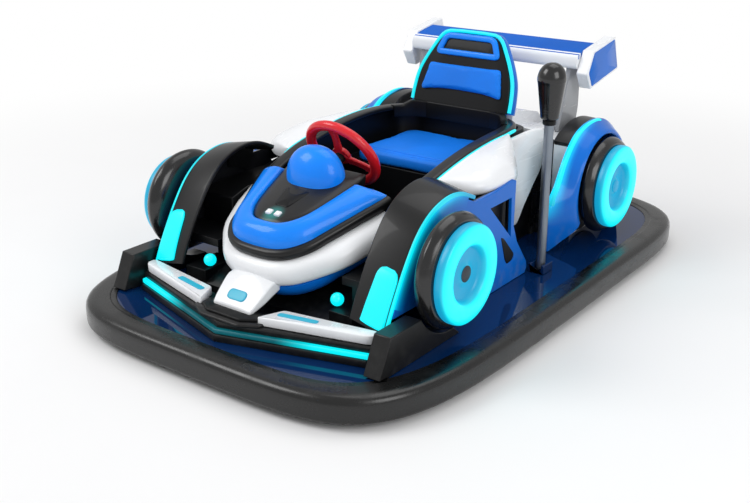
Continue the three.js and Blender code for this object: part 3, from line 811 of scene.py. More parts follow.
# %% Nose shell, its beak and the lower band
def nose_edge(back):
    """The bonnet's half outline, cut off at a distance behind its middle."""
    kept = [(x, y) for x, y in band_edge if y < back - 4]
    a, b = kept[-1], next(p for p in band_edge if p[1] >= back - 4)
    t = (back - a[1]) / max(b[1] - a[1], 1e-6)
    return kept + [(a[0] + (b[0] - a[0]) * t, back)]


SHELL_LEVELS = [
    (8, -25), (17, -26.5), (27, -30), (34, -36), (38, -45), (40, -56), (40, -68), (37, -78), (31, -84),
    (23, -86.5)
]


def shoulder(y):
    """The shell widens behind its nose and keeps that width back to the cockpit."""
    rise, fall = clamp((y + 170) / 100.0), clamp((y + 10) / 90.0)
    return 27.0 * rise * rise * (3 - 2 * rise) - 19.0 * fall


def spread(edge, by):
    """The half outline moved outward, and more so beside the shoulder."""
    share = max(0.0, by - 15.0) / 25.0
    return [(x + (shoulder(y) * share if i else 0.0), y) for i, (x, y) in enumerate(grown(edge, by))]


rings = [[tilted(x, y, h) for x, y in both_sides(spread(nose_edge(76.0), by))] for by, h in SHELL_LEVELS]
shell = loft("nose_shell_skin", rings)
wear(shell, WHITE, instead="nose_shell")
LOWER_LEVELS = [(28, -85), (33, -88), (34, -97), (31, -108), (24, -119), (14, -128), (2, -132)]
lower = slab("nose_lower_band_skin", nose_edge(58.0), LOWER_LEVELS)
wear(lower, DEEP_BLUE, instead="nose_lower_band")

BEAK = [
    (-600, 69, 208, 16, 170),
    (-622, 69, 208, 16, 162),
    (-637, 69, 204, 15, 157),
    (-647, 68, 196, 12, 152),
    (-658, 67, 185, 9, 147),
    (-670, 65, 173.5, 6, 142),
    (-682, 63, 162.5, 4, 137.5),
    (-694, 61, 151.5, 3, 133),
    (-703, 58, 144, 2.5, 131),
]
rings = []
for y, half, top, crown, bottom in BEAK:
    over = [(half * k / 10, top - crown * abs(k / 10) ** 2.2) for k in range(10, -11, -1)]
    under = [(4 - half, bottom), (half - 4, bottom), (half, bottom + 4)]
    rings.append([(x, y, z) for x, z in under + over + [(-half, bottom + 4)]])
beak = wear(loft("nose_beak", rings, smooth=42), WHITE)
softener = beak.modifiers.new("softened_edges", "BEVEL")
softener.width, softener.segments, softener.limit_method = 3 * MM, 2, "ANGLE"
print("nose", len(shell.data.polygons), len(lower.data.polygons), len(beak.data.polygons))


# %% [markdown]
# Small lamps sit on the nose, the flaps and the fenders. All are the same thing, a pad
# with a rounded outline that stands a few millimetres proud, so one function makes them:
# it takes an outline on a plane and the plane's place.

# %% Lamp pads
def centre_of(outline):
    return [sum(p[i] for p in outline) / len(outline) for i in (0, 1)]


def pad(name, outline, place, height, material, shy=0.16):
    """A domed pad; place is a matrix from the pad's plane, in millimetres."""
    cx, cy = centre_of(outline)
    levels = [(1.0, -3.0, 0.0), (1.0, height * 0.5, 0.25), (1 - shy * 0.35, height * 0.85, 0.8)]
    levels += [(1 - shy, height, 1.0), (0.5, height * 1.08, 1.0), (0.04, height * 1.1, 1.0)]
    rings = [
        [tuple(place @ Vector((cx + (x - cx) * k, cy + (y - cy) * k, h))) for x, y in outline]
        for k, h, _ in levels
    ]
    return wear(loft(name, rings, smooth=60), material, glow=lambda i, p: levels[i // len(outline)][2])


def plane(origin, across, along):
    """A matrix whose X and Y run along the two directions given."""
    x = Vector(across).normalized()
    z = x.cross(Vector(along)).normalized()
    y = z.cross(x)
    m = Matrix((x, y, z)).transposed().to_4x4()
    m.translation = Vector(origin)
    return m


def pill(width, height):
    x, y = width / 2, height / 2
    return soften([(-x, -y), (x, -y), (x, y), (-x, y)], min(x, y), 8)


pad("nose_spot", pill(56, 27), plane((0, -681, 163.0), (1, 0, 0), (0, 0.74, 0.67)), 2.5, SPOT)
print("nose spot set")


# %% [markdown]
# Front fenders are dark strips that arch over the wheels and fall away outward. Each is a
# rounded section swept along the arch; a thin lit line follows its outer edge and a broad
# lamp sits on its front face, so both reuse the same arch.

# %% Front fenders, their edge lights and pill lamps
ARCH = smooth_line(
    [
        (-604, 152), (-576, 210), (-527, 293), (-479, 355), (-425, 394), (-360, 412), (-300, 408),
        (-240, 384)
    ],
    6
)
ARCH_N = normals_2d(ARCH)
fender_low, fender_high = (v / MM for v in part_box("front_fender_left"))
IN_X, OUT_X = fender_low.x, fender_high.x
LIGHT_END = -262


def shear(x):
    """How far the fender has dropped at x, because it falls away outward."""
    return 0.2 * max(0.0, x - IN_X)


def on_arch(i, x, lift):
    """A point over the fender: station i, across at x, lifted off its top face."""
    (y, z), (ny, nz) = ARCH[i], ARCH_N[i]
    return (y + ny * lift, z + nz * lift - shear(x))


def arch_ring(i, side, x0, x1, lift0, lift1, soft):
    corners = [(x0, lift0), (x1, lift0), (x1, lift1), (x0, lift1)]
    ring = []
    for x, lift in soften(corners, soft, 4):
        y, z = on_arch(i, x, lift)
        ring.append((side * x, y, z))
    return ring


def arch_between(u):
    """The arch and its normal at a place between two stations."""
    i, t = int(u), u - int(u)
    return [[a + (b - a) * t for a, b in zip(row[i], row[i + 1])] for row in (ARCH, ARCH_N)]


def fade_back(y):
    """The edge light dies out where the fender runs down toward the cockpit."""
    return clamp((LIGHT_END - y) / 90.0)


for side, sign in SIDES:
    rings = [arch_ring(i, sign, IN_X, OUT_X - 4, -12, 0, 5.0) for i in range(len(ARCH))]
    wear(loft(f"front_fender_{side}_skin", rings, smooth=45), CHARCOAL, instead=f"front_fender_{side}")
    rings = [arch_ring(i, sign, OUT_X - 5, OUT_X + 1.5, -9, 0.5, 2.5) for i in range(len(ARCH))]
    edge = loft(f"fender_light_{side}", rings, smooth=60)
    wear(edge, CYAN, glow=lambda i, p: (1.0 - 0.45 * clamp((p.z - 300) / 110)) * fade_back(p.y))

    rings = []
    for k in range(33):
        u = k / 32
        from_end = min(u * 16.0, (1 - u) * 6.0)
        corner = 1 - math.sqrt(max(0.0, 1 - (1 - min(1.0, from_end)) ** 2))
        inner, outer = 300.0 + 10.0 * u + 16.0 * corner, 364.0 - 16.0 * corner
        thick = 7.0 * (1 - corner * 0.75)
        (y0, z0), (ny, nz) = arch_between(0.9 + u * 10.0)
        ring = []
        for x, lift in soften([(inner, -2), (outer, -2), (outer, thick), (inner, thick)], 5.0, 4):
            ring.append((sign * x, y0 + ny * lift, z0 + nz * lift - shear(x)))
        rings.append(ring)
    wear(loft(f"fender_lamp_{side}", rings, smooth=60), CYAN, glow=1.0)

    section = ((345, -10), (353, -10), (353, -64), (345, -64))
    behind = [i for i, (y, z) in enumerate(ARCH) if y > -345]
    rings = [[(sign * x, *on_arch(i, OUT_X - 12, lift)) for x, lift in section] for i in behind]
    wear(loft(f"fender_liner_{side}", rings), BLACK)
print("fenders", len(ARCH), "stations along the arch")


# %% [markdown]
# A lamp lights the paint beside it. Tracing that from so thin a line is slow and noisy, so
# a thin strip of the same blue paint lies on the panel. It glows less the farther a point
# is from the lamp, which the glow number on its points says.

# %% Light that the edge lamp spills on the blue panel under it
SPILL = ((-8.0, 0.85), (-13.0, 0.55), (-19.0, 0.3), (-27.0, 0.12), (-37.0, 0.03), (-48.0, 0.0))
for side, sign in SIDES:
    section = [(370.7, lift, glow) for lift, glow in SPILL]
    section += [(368.0, lift, glow) for lift, glow in SPILL[::-1]]
    lit = [i for i, (y, z) in enumerate(ARCH) if z > 200 and y < LIGHT_END]
    rings = [[(sign * x, *on_arch(i, OUT_X, lift)) for x, lift, _ in section] for i in lit]
    spill = loft(f"panel_spill_{side}", rings, smooth=80)
    wear(spill, LIT_BLUE, glow=lambda i, p: section[i % len(section)][2] * fade_back(p.y))
print("spill strips", len(rings), "stations")


# %% [markdown]
# A dark coaming rolls along the edge of the cockpit, and a black apron stands in front of
# the backrest. Both follow one rim line, a curve in plan and another in height, so that
# every piece beside the cockpit can ask how high the rim is where it lies.

# %% Cockpit rim line
RIM = smooth_line(
    [(-345, 336), (-300, 352), (-200, 381), (-100, 402), (0, 416), (100, 422), (200, 421), (300, 417)], 6
)


def rim_z(y):
    """Height of the rim at a distance along the car."""
    for (y0, z0), (y1, z1) in zip(RIM, RIM[1:]):
        if y <= y1:
            return z0 + (z1 - z0) * (y - y0) / (y1 - y0)
    return RIM[-1][1]


side_path = [
    (207, -345), (215, -290), (221, -200), (221, -100), (221, 40), (214, 160), (196, 220), (160, 262),
    (110, 281)
]
half_path = smooth_line(side_path, 6)
full_path = [(-x, y) for x, y in half_path] + half_path[::-1]
sides = normals_2d(full_path)
rings = []
for (x, y), (nx, ny) in zip(full_path, sides):
    top = rim_z(y)
    ring = []
    for s, h in soften(
        [(-19, -13), (-19, -3), (-12, 0), (12, 0), (19, -5), (19, -13)], [3, 4, 5, 6, 4, 3], 3
    ):
        ring.append((x + nx * s, y + ny * s, top + h))
    rings.append(ring)
coaming = wear(loft("cockpit_coaming_skin", rings, smooth=50), CHARCOAL, instead="cockpit_coaming")
rings = []
for (x, y), (nx, ny) in zip(full_path, sides):
    if y > 196:
        toward_seat = abs(x - 10 * nx) + abs(y - 10 * ny) < abs(x + 10 * nx) + abs(y + 10 * ny)
        inward = -1 if toward_seat else 1
        rise = 2.0 + 15.0 * clamp((186 - abs(x)) / 22.0)
        section = soften(
            [(24, -32), (24, rise), (4, rise), (4, -14), (18, -14), (18, -32)], [2, 5, 4, 1, 1, 2], 4
        )
        rings.append([(x + nx * s * inward, y + ny * s * inward, rim_z(y) + h) for s, h in section])
apron = wear(loft("cockpit_apron", rings, smooth=50), BLACK)
print("coaming", len(coaming.data.polygons), "faces, apron", len(apron.data.polygons))


# %% [markdown]
# Beside the cockpit each side carries a white pod, plump like a cushion. It is built from
# cross sections: at each station a quarter wave runs from the coaming out to the widest
# point and tucks under, so the pod comes to a point in front and tapers toward the seat. A
# thin lit tube follows the rim, and a fin closes the gap behind.

# %% White side pods and the lit line above them
POD = smooth_line(
    [
        (-214, 262, 357), (-196, 318, 356), (-165, 352, 357), (-120, 363, 359), (-60, 366, 360),
        (-30, 362, 358), (14, 342, 348), (60, 312, 352), (100, 282, 372), (130, 250, 404)
    ],
    5
)
for side, sign in SIDES:
    rings = []
    for y, x_out, z_out in POD:
        top = rim_z(y) - 5
        x_in = 241.0
        span, fall = x_out - x_in, top - z_out
        bulge = 6.0 * min(1.0, span / 60.0)
        ring = []
        for k in range(15):
            t = k / 14
            x = x_in + span * math.sin(t * math.pi / 2) ** 0.92
            z = top - fall * (1 - math.cos(t * math.pi / 2)) ** 1.15 + bulge * math.sin(math.pi * t) ** 1.2
            ring.append((sign * x, y, z))
        ring += [(sign * (x_out - 2), y, z_out - 9), (sign * (x_out - 7), y, z_out - 15)]
        ring.append((sign * x_in, y, min(z_out - 15, top - 22)))
        rings.append(ring)
    wear(loft(f"side_pod_{side}_top", rings, smooth=60), WHITE)
    rings = []
    for y in [-232 + 12 * k for k in range(36)]:
        fade = min(1.0, (y + 236) / 30.0, (200 - y) / 30.0 + 0.3)
        r = 4.6 * max(fade, 0.35)
        out = 242.0 - max(0.0, (y - 120) * 0.14)
        rings.append([(sign * (out + a), y, rim_z(y) - 8 + b) for a, b in circle(10, r)])
    wear(loft(f"cockpit_light_{side}", rings, smooth=70), CYAN, glow=0.95)

FIN_BACK = smooth_line(
    [
        (122, 402), (126, 330), (150, 200), (168, 150), (184, 150), (215, 188), (262, 237), (318, 298),
        (330, 371), (300, 398), (231, 404)
    ],
    5
)


def side_plate(name, sign, outline, centre, levels, smooth=38.0):
    """A plate that faces sideways: levels are pairs of size and distance from the middle."""
    cy, cz = centre
    rings = [[(sign * x, cy + (y - cy) * k, cz + (z - cz) * k) for y, z in outline] for k, x in levels]
    return loft(name, rings, smooth=smooth)


FIN_LEVELS = ((0.98, 241), (1.0, 243), (1.0, 252), (0.992, 254.5), (0.975, 256))
for side, sign in SIDES:
    fin = side_plate(f"side_fin_{side}", sign, FIN_BACK, centre_of(FIN_BACK), FIN_LEVELS, smooth=50)
    wear(fin, WHITE, instead=f"side_pod_{side}")
print("pods", len(POD), "stations")


# %% [markdown]
# The wheels are turned shapes: a profile of points spun about the axle. The tyre is a
# smooth glossy tube; the lit ring has a teal drum, a bright face that swells like a
# doughnut and a dished middle, and its glow number follows the profile. The front wheels
# have a bare steel cap, the rear ones a lens cap.

# %% Wheels
BORE = 13.5


def turned(name, centre, sign, profile, material, body, steps=72, instead=None):
    """A profile of (distance outward, radius, glow) turned round the axle."""
    rings = [
        [(centre.x + sign * x, centre.y + a, centre.z + b) for a, b in circle(steps, r)]
        for x, r, _ in profile
    ]
    made = loft(name, rings, closed=True, smooth=50)
    return wear(made, material, body, instead, glow=lambda i, p: profile[i // steps][2])


for where in ("front", "rear"):
    for side, sign in SIDES:
        tyre_node, ring_node = f"show_tyre_{where}_{side}", f"show_ring_{where}_{side}"
        low, high = (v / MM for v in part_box(tyre_node))
        hub = middle(tyre_node)
        wide, radius = high.x - low.x, (high.z - low.z) / 2
        half = wide / 2
        tyre = smooth_line(
            [
                (-half, 40), (-half, 84), (-half + 3, 104), (-half + 9, 122), (-half + 18, 133),
                (-half + 28, 137.6), (half - 22, radius), (half - 12, 134.5), (half - 4, 128),
                (half - 0.6, 119.5), (half - 0.6, 60)
            ],
            3
        )
        tyre = [(x, r, 0.0) for x, r in tyre] + [(half - 0.6, BORE, 0.0), (-half, BORE, 0.0)]
        turned(f"tyre_{where}_{side}_skin", hub, sign, tyre, TYRE, body_of(tyre_node), instead=tyre_node)

        hub = middle(ring_node)
        drum = [
            (-13, 80, 0.0), (-13, 112, 0.0), (-12, 117.2, 0.0), (-9, 118.4, 0.04), (2, 118.4, 0.1),
            (7, 117.6, 0.3)
        ]
        face = [
            (10.5, 114, 1.0), (12.6, 108, 1.0), (13.0, 99, 1.0), (13.0, 88, 1.0), (12.4, 79, 1.0),
            (10, 72, 1.0)
        ]
        dish = [(6, 68, 0.35), (-2, 65, 0.1), (-8, 62, 0.02), (-9.5, 58, 0.0), (-9.8, 40, 0.0)]
        dish += [(-8.2, 26, 0.05), (-5.0, 22, 0.1), (-4.6, 15, 0.08), (-4.6, BORE, 0.05), (-13, BORE, 0.0)]
        ring, ring_body = drum + face + dish, body_of(ring_node)
        turned(f"ring_{where}_{side}_skin", hub, sign, ring, CYAN, ring_body, instead=ring_node)
        cap = [
            (-6.5, 0.4, 0.0), (-6.5, 10, 0.0), (-3.0, 19.5, 0.0), (-2.0, 19.5, 0.0), (0.5, 15, 0.0),
            (1.2, 0.4, 0.0)
        ]
        finish = FRAME_STEEL if where == "front" else CYAN
        turned(f"hub_cap_{where}_{side}", hub, sign, cap, finish, ring_body, steps=36)
print("wheels done")


# %% [markdown]
# Behind them the rear flanks curl round the wheels. Each flank runs from the arch beside
# the tyre out to its own outline, and swells outward between the two, so it is lofted in
# slices that turn about the wheel. A dark crest covers the top, and along the flank's
# leading edge a broad band of painted lamp light glows in the blue paint.

# %% Rear flanks
rear_hub = middle("show_tyre_rear_left")
FLANK = smooth_line(
    [
        (198, 79), (190, 130), (188, 185), (204, 226), (236, 264), (267, 314), (293, 346), (320, 372),
        (350, 391), (392, 404), (440, 409), (482, 406), (522, 395), (568, 368), (606, 332), (634, 286),
        (650, 230), (654, 160), (646, 79)
    ],
    4
)
FLANK_SECTION = [
    (0.0, 337.0), (0.0, 386.0), (0.015, 392.0), (0.06, 396.0), (0.16, 397.0), (0.3, 393.0), (0.42, 386.0)
]
FLANK_SECTION += [
    (0.54, 378.0), (0.65, 370.5), (0.75, 364.0), (0.84, 358.5), (0.92, 353.5), (0.97, 350.0), (1.0, 346.0),
    (1.0, 337.0)
]


FOOT, OPENING, WELL, AXLE = 79.0, 144.0, 150.0, 12.0


def arch_point(y, z):
    """The nearest place on the wheel opening, which is open below toward the deck."""
    dy, dz = y - rear_hub.y, z - rear_hub.z
    length = math.hypot(dy, dz)
    return rear_hub.y + dy / length * OPENING, max(rear_hub.z + dz / length * OPENING, FOOT)


def flank_painted_light(i, p):
    """Painted lamp light on the blue paint: strongest at the leading edge, gone behind the top and near the
    foot.
    """
    (y, z), t = FLANK[i // len(FLANK_SECTION)], FLANK_SECTION[i % len(FLANK_SECTION)][0]
    reach = 0.30 + 0.25 * clamp((330 - z) / 200.0)
    front = clamp((450 - y) / 110.0) * clamp((z - 165) / 80.0)
    return front * clamp(1 - (1 - t) / reach) ** 1.3


for side, sign in SIDES:
    rings = []
    for y, z in FLANK:
        ay, az = arch_point(y, z)
        rings.append([(sign * x, ay + (y - ay) * t, az + (z - az) * t) for t, x in FLANK_SECTION])
    flank = loft(f"rear_flank_{side}", rings, smooth=60)
    # The flank's blue paint glows with painted lamp light along its leading edge.
    wear(flank, LIT_BLUE, instead=f"rear_fender_{side}", glow=flank_painted_light)
    disc = [(rear_hub.y + a, max(rear_hub.z + b, FOOT)) for a, b in circle(64, WELL)]
    rings = [[(sign * x, y, z) for y, z in disc] for x in (336.5, 341.0)]
    wear(loft(f"rear_wheel_well_{side}", rings), BLACK)
    axle = [[(sign * x, rear_hub.y + a, rear_hub.z + b) for a, b in circle(24, AXLE)] for x in (340, 434)]
    wear(loft(f"rear_axle_{side}", axle), FRAME_STEEL)

    lit = [p for p in FLANK if p[0] < 480 and p[1] > 215]
    normal = normals_2d(lit)
    rings = []
    for i, ((y, z), (ny, nz)) in enumerate(zip(lit, normal)):
        wide = 9.0 * min(1.0, 0.35 + i * 0.22) * min(1.0, 0.25 + (len(lit) - 1 - i) * 0.12)
        ring = []
        for s, x in soften([(-1, 344), (-1, 353), (1, 357), (1, 344)], [0.4, 0.7, 0.7, 0.4], 3):
            ring.append((sign * x, y - ny * wide * (0.8 + s), z - nz * wide * (0.8 + s)))
        rings.append(ring)
    wear(loft(f"flank_light_{side}", rings, smooth=60), CYAN, glow=lambda i, p: clamp((p.z - 200) / 60.0))

    crest = [p for p in FLANK if p[1] > 338 and p[0] > 308]
    normal = normals_2d(crest)
    rings = []
    for (y, z), (ny, nz) in zip(crest, normal):
        ring = []
        for x, lift in soften([(286, -44), (286, 0), (345, -3), (345, -44)], [3, 8, 4, 3], 4):
            ring.append((sign * x, y + ny * lift, z + nz * lift))
        rings.append(ring)
    wear(loft(f"rear_crest_{side}", rings, smooth=50), CHARCOAL)
print("flanks", len(FLANK), "stations")


# %% [markdown]
# The blue side panels, the black boxes behind them, the end plates and the rear body keep
# the CAD shape. Their skins are merged copies with rounded edges, since a moulding has no
# knife edges, and the hidden running gear only needs honest materials.

# %% Skins of the flat mouldings
KEEP_SHAPE = (
    ("side_panel_left", PANEL_BLUE, 4.5),
    ("side_panel_right", PANEL_BLUE, 4.5),
    ("side_box_left", BLACK, 5.0),
    ("side_box_right", BLACK, 5.0),
    ("front_body", BLACK, 4.0),
    ("front_splitter", CHARCOAL, 1.5),
    ("front_endplate_left", CHARCOAL, 3.5),
    ("front_endplate_right", CHARCOAL, 3.5),
    ("rear_body", REAR_WHITE, 9.0),
    ("wing_endplate_left", WHITE, 3.0),
    ("wing_endplate_right", WHITE, 3.0),
    ("cockpit_tub", BLACK, 1.5),
    ("lever_base", DECK, 2.0),
)
for node, material, bevel in KEEP_SHAPE:
    wear(skin(node, bevel), material, instead=node)
AS_PACKED = (
    (DECK, ("deck_plate",)),
    (FRAME_STEEL, ("chassis_frame", "drive_unit", "caster_fork_left", "caster_fork_right")),
    (BLACK, ("battery_block", "steering_column")),
    (TREAD, ("drive_wheel_left", "drive_wheel_right", "caster_wheel_left", "caster_wheel_right")),
    (LEVER_STEEL, ("lever_pole",)),
)
for material, nodes in AS_PACKED:
    for node in nodes:
        shown = frame["nodes"][node].data
        shown.materials.clear()
        shown.materials.append(material)
SLOT_LEVELS = ((1.0, 368), (1.0, 370.6), (0.96, 371.2), (0.8, 371.3))
for side, sign in SIDES:
    slot_plan = soften([(-108, 218), (-94, 212), (-36, 152), (-44, 138), (-72, 134), (-84, 150)], 7)
    wear(side_plate(f"panel_slot_{side}", sign, slot_plan, (-72, 172), SLOT_LEVELS), BLACK)
print("skins", len(KEEP_SHAPE))


# %% [markdown]
# From behind the body is one plain white moulding. A dark valance with upright fins closes
# it at the bottom, so that air can leave, and two rounded lamps sit above. The fins are all
# alike, so the row tree that made the bolts and stitches could place them; they are lofts
# here, because each one is a blade with a slanted lower edge.

# %% Rear valance, its fins and the tail lamps
BACK_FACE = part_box("rear_body")[1].y / MM
valance = soften(
    [(-292, 84), (292, 84), (306, 98), (286, 146), (-286, 146), (-306, 98)], [5, 5, 8, 14, 14, 8], 5
)
levels = ((1.0, -8), (1.0, 2.5), (0.992, 4.5), (0.975, 5.5), (0.965, 2.0), (0.5, 2.0))
rings = [[(x * k, BACK_FACE + d, 115 + (z - 115) * k) for x, z in valance] for k, d in levels]
wear(loft("rear_valance", rings, smooth=50), BLACK)
fin = soften(
    [
        (BACK_FACE - 1, 88), (BACK_FACE + 12, 94), (BACK_FACE + 20, 104), (BACK_FACE + 6, 142),
        (BACK_FACE - 1, 142)
    ],
    [1, 4, 5, 4, 1]
)
FIN_MIDDLE = 592
for n in range(9):
    x = -240 + 60 * n
    faces = ((x - 2.6, 0.99), (x - 1.6, 1.0), (x + 1.6, 1.0), (x + 2.6, 0.99))
    rings = [[(face_x, FIN_MIDDLE + (y - FIN_MIDDLE) * k, z) for y, z in fin] for face_x, k in faces]
    wear(loft(f"valance_fin_{n}", rings, smooth=50), CHARCOAL)
for side, sign in SIDES:
    face = plane((sign * 226, BACK_FACE, 232), (-1, 0, 0), (0, 0, 1))
    bezel = pill(140, 44)
    pad(f"tail_lamp_bezel_{side}", bezel, face, 2.5, BLACK, shy=0.04)
    face = plane((sign * 226, BACK_FACE + 2, 232), (-1, 0, 0), (0, 0, 1))
    pad(f"tail_lamp_{side}", [(x * 0.88, y * 0.66) for x, y in bezel], face, 3.5, CYAN)
seam = soften([(-232, 168), (232, 168), (232, 286), (-232, 286)], 16, 6)
edge = normals_2d(seam, closed=True)
groove = ((-1.2, -2), (-1.2, 0.35), (1.2, 0.35), (1.2, -2))
rings = [
    [(x + nx * s, BACK_FACE + d, z + nz * s) for s, d in groove] for (x, z), (nx, nz) in zip(seam, edge)
]
wear(loft("rear_hatch_joint", rings, closed=True), BLACK)
print("rear face at", round(BACK_FACE), "mm")


# %% [markdown]
# The seat is the only soft thing on the car. The cushion and the back pad start as plain
# closed shapes, slightly small, and the cloth solver blows them up like real upholstery
# over foam; the movement is capped so that they stay inside their places.

# %% Cloth helper and the seat cushion
def inflate(piece, cap, voxel=5.0):
    """Blows a closed piece up with the cloth solver; no point moves farther than cap."""
    remesh = piece.modifiers.new("even_mesh", "REMESH")
    remesh.mode, remesh.voxel_size = "VOXEL", voxel * MM
    cloth = None
    cloth = piece.modifiers.new("cloth", "CLOTH")
    cloth.settings.quality = 6
    cloth.settings.use_pressure = True
    cloth.settings.uniform_pressure_force = 4.0
    cloth.settings.effector_weights.gravity = 0.0
    cloth.settings.tension_stiffness = 18.0
    cloth.settings.bending_stiffness = 1.5
    cloth.point_cache.frame_start, cloth.point_cache.frame_end = 1, 20
    cloth.show_viewport = False
    rest = bpy.data.meshes.new_from_object(piece.evaluated_get(bpy.context.evaluated_depsgraph_get()))
    start = [v.co.copy() for v in rest.vertices]
    if cloth:
        cloth.show_viewport = True
        for number in range(1, 21):
            scene.frame_set(number)
        swollen = bpy.data.meshes.new_from_object(
            piece.evaluated_get(bpy.context.evaluated_depsgraph_get())
        )
        for vertex, moved, before in zip(rest.vertices, swollen.vertices, start):
            step = moved.co - before
            if step.length > cap * MM:
                step = step.normalized() * cap * MM
            vertex.co = before + step
        scene.frame_set(1)
    piece.modifiers.clear()
    piece.data = rest
    rest.shade_smooth()
    return piece


def finish_soft(piece):
    finer = piece.modifiers.new("finer", "SUBSURF")
    finer.levels = finer.render_levels = 1
    return piece


low, high = (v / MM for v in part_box("seat_cushion"))
half, front, back = high.x - 7, low.y + 6, high.y - 7
cushion_plan = soften(
    [
        (-half, front), (half, front), (half, back - 4), (half - 42, back), (42 - half, back),
        (-half, back - 4)
    ],
    [20, 20, 26, 26, 26, 26], 5
)
middle_y = (front + back) / 2
levels = ((0.93, 2), (0.985, 5), (1.0, 12), (1.0, 24), (0.985, 31), (0.95, 34.5), (0.9, 35.5))
rings = []
for k, h in levels:
    rings.append(
        [(x * (1 - (1 - k) * 0.7), middle_y + (y - middle_y) * k, low.z + h) for x, y in cushion_plan]
    )
cushion = inflate(loft("seat_cushion_soft", rings), 7.0)
SEAM_DEPTH, SEAM_WIDTH = 3.2, 5.0
for v in cushion.data.vertices:
    x, y, z = v.co / MM
    if z > low.z + 22:
        v.co.z -= SEAM_DEPTH * MM * math.exp(-(((y - (front + 24)) / SEAM_WIDTH) ** 2))
wear(finish_soft(cushion), VINYL, instead="seat_cushion")


def surface_under(piece, x, y, start):
    """Height of a piece under a place, in millimetres."""
    hit, place, _, _ = piece.ray_cast(Vector((x, y, start)) * MM, Vector((0, 0, -1)))
    return place.z / MM if hit else None


for n, row_y in enumerate((front + 19.5, front + 28.5)):
    seam = [(x, row_y, surface_under(cushion, x, row_y, 400)) for x in range(-150, 151, 10)]
    seam = [(x, y, z + 0.3) for x, y, z in seam if z]
    row_along(
        f"cushion_stitches_{n}", STITCHES, seam, False, "blue_vinyl", spacing=9.0, radius=0.9, height=6.0
    )
print("cushion", len(cushion.data.vertices), "points")


# %% [markdown]
# The backrest leans back, so it is drawn on its own upright plane and tilted into place.
# From outside in there is a blue shell, a lit edge line, a black panel, the blue pad and a
# headrest frame left blank.

# %% Backrest
BACK_PLACE = Matrix.Translation((0, 262, 431)) @ Matrix.Rotation(math.radians(-17), 4, "X")


def leaning(x, y, z):
    return tuple(BACK_PLACE @ Vector((x, y, z)))


SHELL_HALF = smooth_line([(171, 2), (170, 40), (163, 90), (142, 142), (112, 196)], 5)
SHELL_SHAPE = SHELL_HALF + [(103, 208), (92, 217), (78, 222), (40, 224)]
BACK_RING = SHELL_SHAPE + [(-x, z) for x, z in SHELL_SHAPE[::-1]]


def back_ring(inset, depth):
    shrink = 1 - inset / 112
    return [
        leaning(x * (1 - inset / 160), depth, 104 + (z - 104) * shrink if z > 104 else z)
        for x, z in BACK_RING
    ]


shell_rings = [back_ring(i, d) for i, d in ((9, 36), (2, 34), (0, 28), (0, 12), (1.5, 8), (4, 7))]
wear(loft("seat_shell_skin", shell_rings, smooth=45), DEEP_BLUE, instead="seat_back")
panel_rings = [back_ring(i, d) for i, d in ((11, 9), (11, 1), (12, -1.5), (14, -2.5), (60, -2.5))]
wear(loft("seat_panel", panel_rings, smooth=45), BLACK)

edge_path = [(x * (1 - 4.5 / 160), 104 + (z - 104) * (1 - 4.5 / 112)) for x, z in BACK_RING]
normal = normals_2d(edge_path)
rings = []
for (x, z), (nx, nz) in zip(edge_path, normal):
    ring = []
    for s, d in soften([(-4.6, 8), (-4.6, -1), (4.6, -1), (4.6, 8)], [1, 4, 4, 1], 4):
        ring.append(leaning(x + nx * s, d - 1.0, z + nz * s))
    rings.append(ring)
wear(loft("seat_edge_light", rings, smooth=60), CYAN, instead="seat_back_light", glow=0.9)

rings = []
badge = soften(
    [(-100, 146), (100, 146), (107, 158), (86, 211), (-86, 211), (-107, 158)], [12, 12, 12, 24, 24, 12], 6
)
badge_normals = normals_2d(badge, closed=True)
for (x, z), (nx, nz) in zip(badge, badge_normals):
    ring = []
    for s, d in soften([(0, -1), (0, -10), (-17, -10), (-17, -1)], [1, 6, 6, 1], 4):
        ring.append(leaning(x - nx * s, d, z - nz * s))
    rings.append(ring)
wear(loft("headrest_frame", rings, closed=True, smooth=50), BLUE)
print("backrest", len(BACK_RING), "outline points")


# %% [markdown]
# The back pad is blown up in the same way as the cushion, from a flat shape that leans with
# the backrest. It is thinner, so it moves less and its mesh is finer.

# %% Back pad
pad_shape = soften(
    [(-136, 37), (0, 46), (136, 37), (141, 46), (124, 125), (-124, 125), (-141, 46)],
    [8, 90, 8, 8, 14, 14, 8], 6
)
rings = []
for k, d in ((0.97, -2.0), (0.99, -5), (0.985, -8.5), (0.95, -11), (0.88, -12)):
    rings.append([leaning(x * k, d, 82 + (z - 82) * (1 - (1 - k) * 1.5)) for x, z in pad_shape])
back_pad = inflate(loft("back_pad_soft", rings), 4.0, voxel=4.0)
wear(finish_soft(back_pad), VINYL, instead="back_pad")
print("back pad", len(back_pad.data.vertices), "points")


# %% [markdown]
# The steering wheel is drawn flat around its own axis, then raked to the column. Its rim is
# a thick ring, its spokes are tapered bars that dip to the hub, and the hub carries a cap.

# %% Steering wheel
steer = next(j for j in frame["record"]["behaviour"]["joints"] if j["name"] == "steering_turn")
STEER_PLACE = Matrix.Translation(Vector(steer["pos_m"]) / MM) @ Matrix.Rotation(math.radians(121.6), 4, "X")


def raked(x, y, z):
    return tuple(STEER_PLACE @ Vector((x, y, z)))


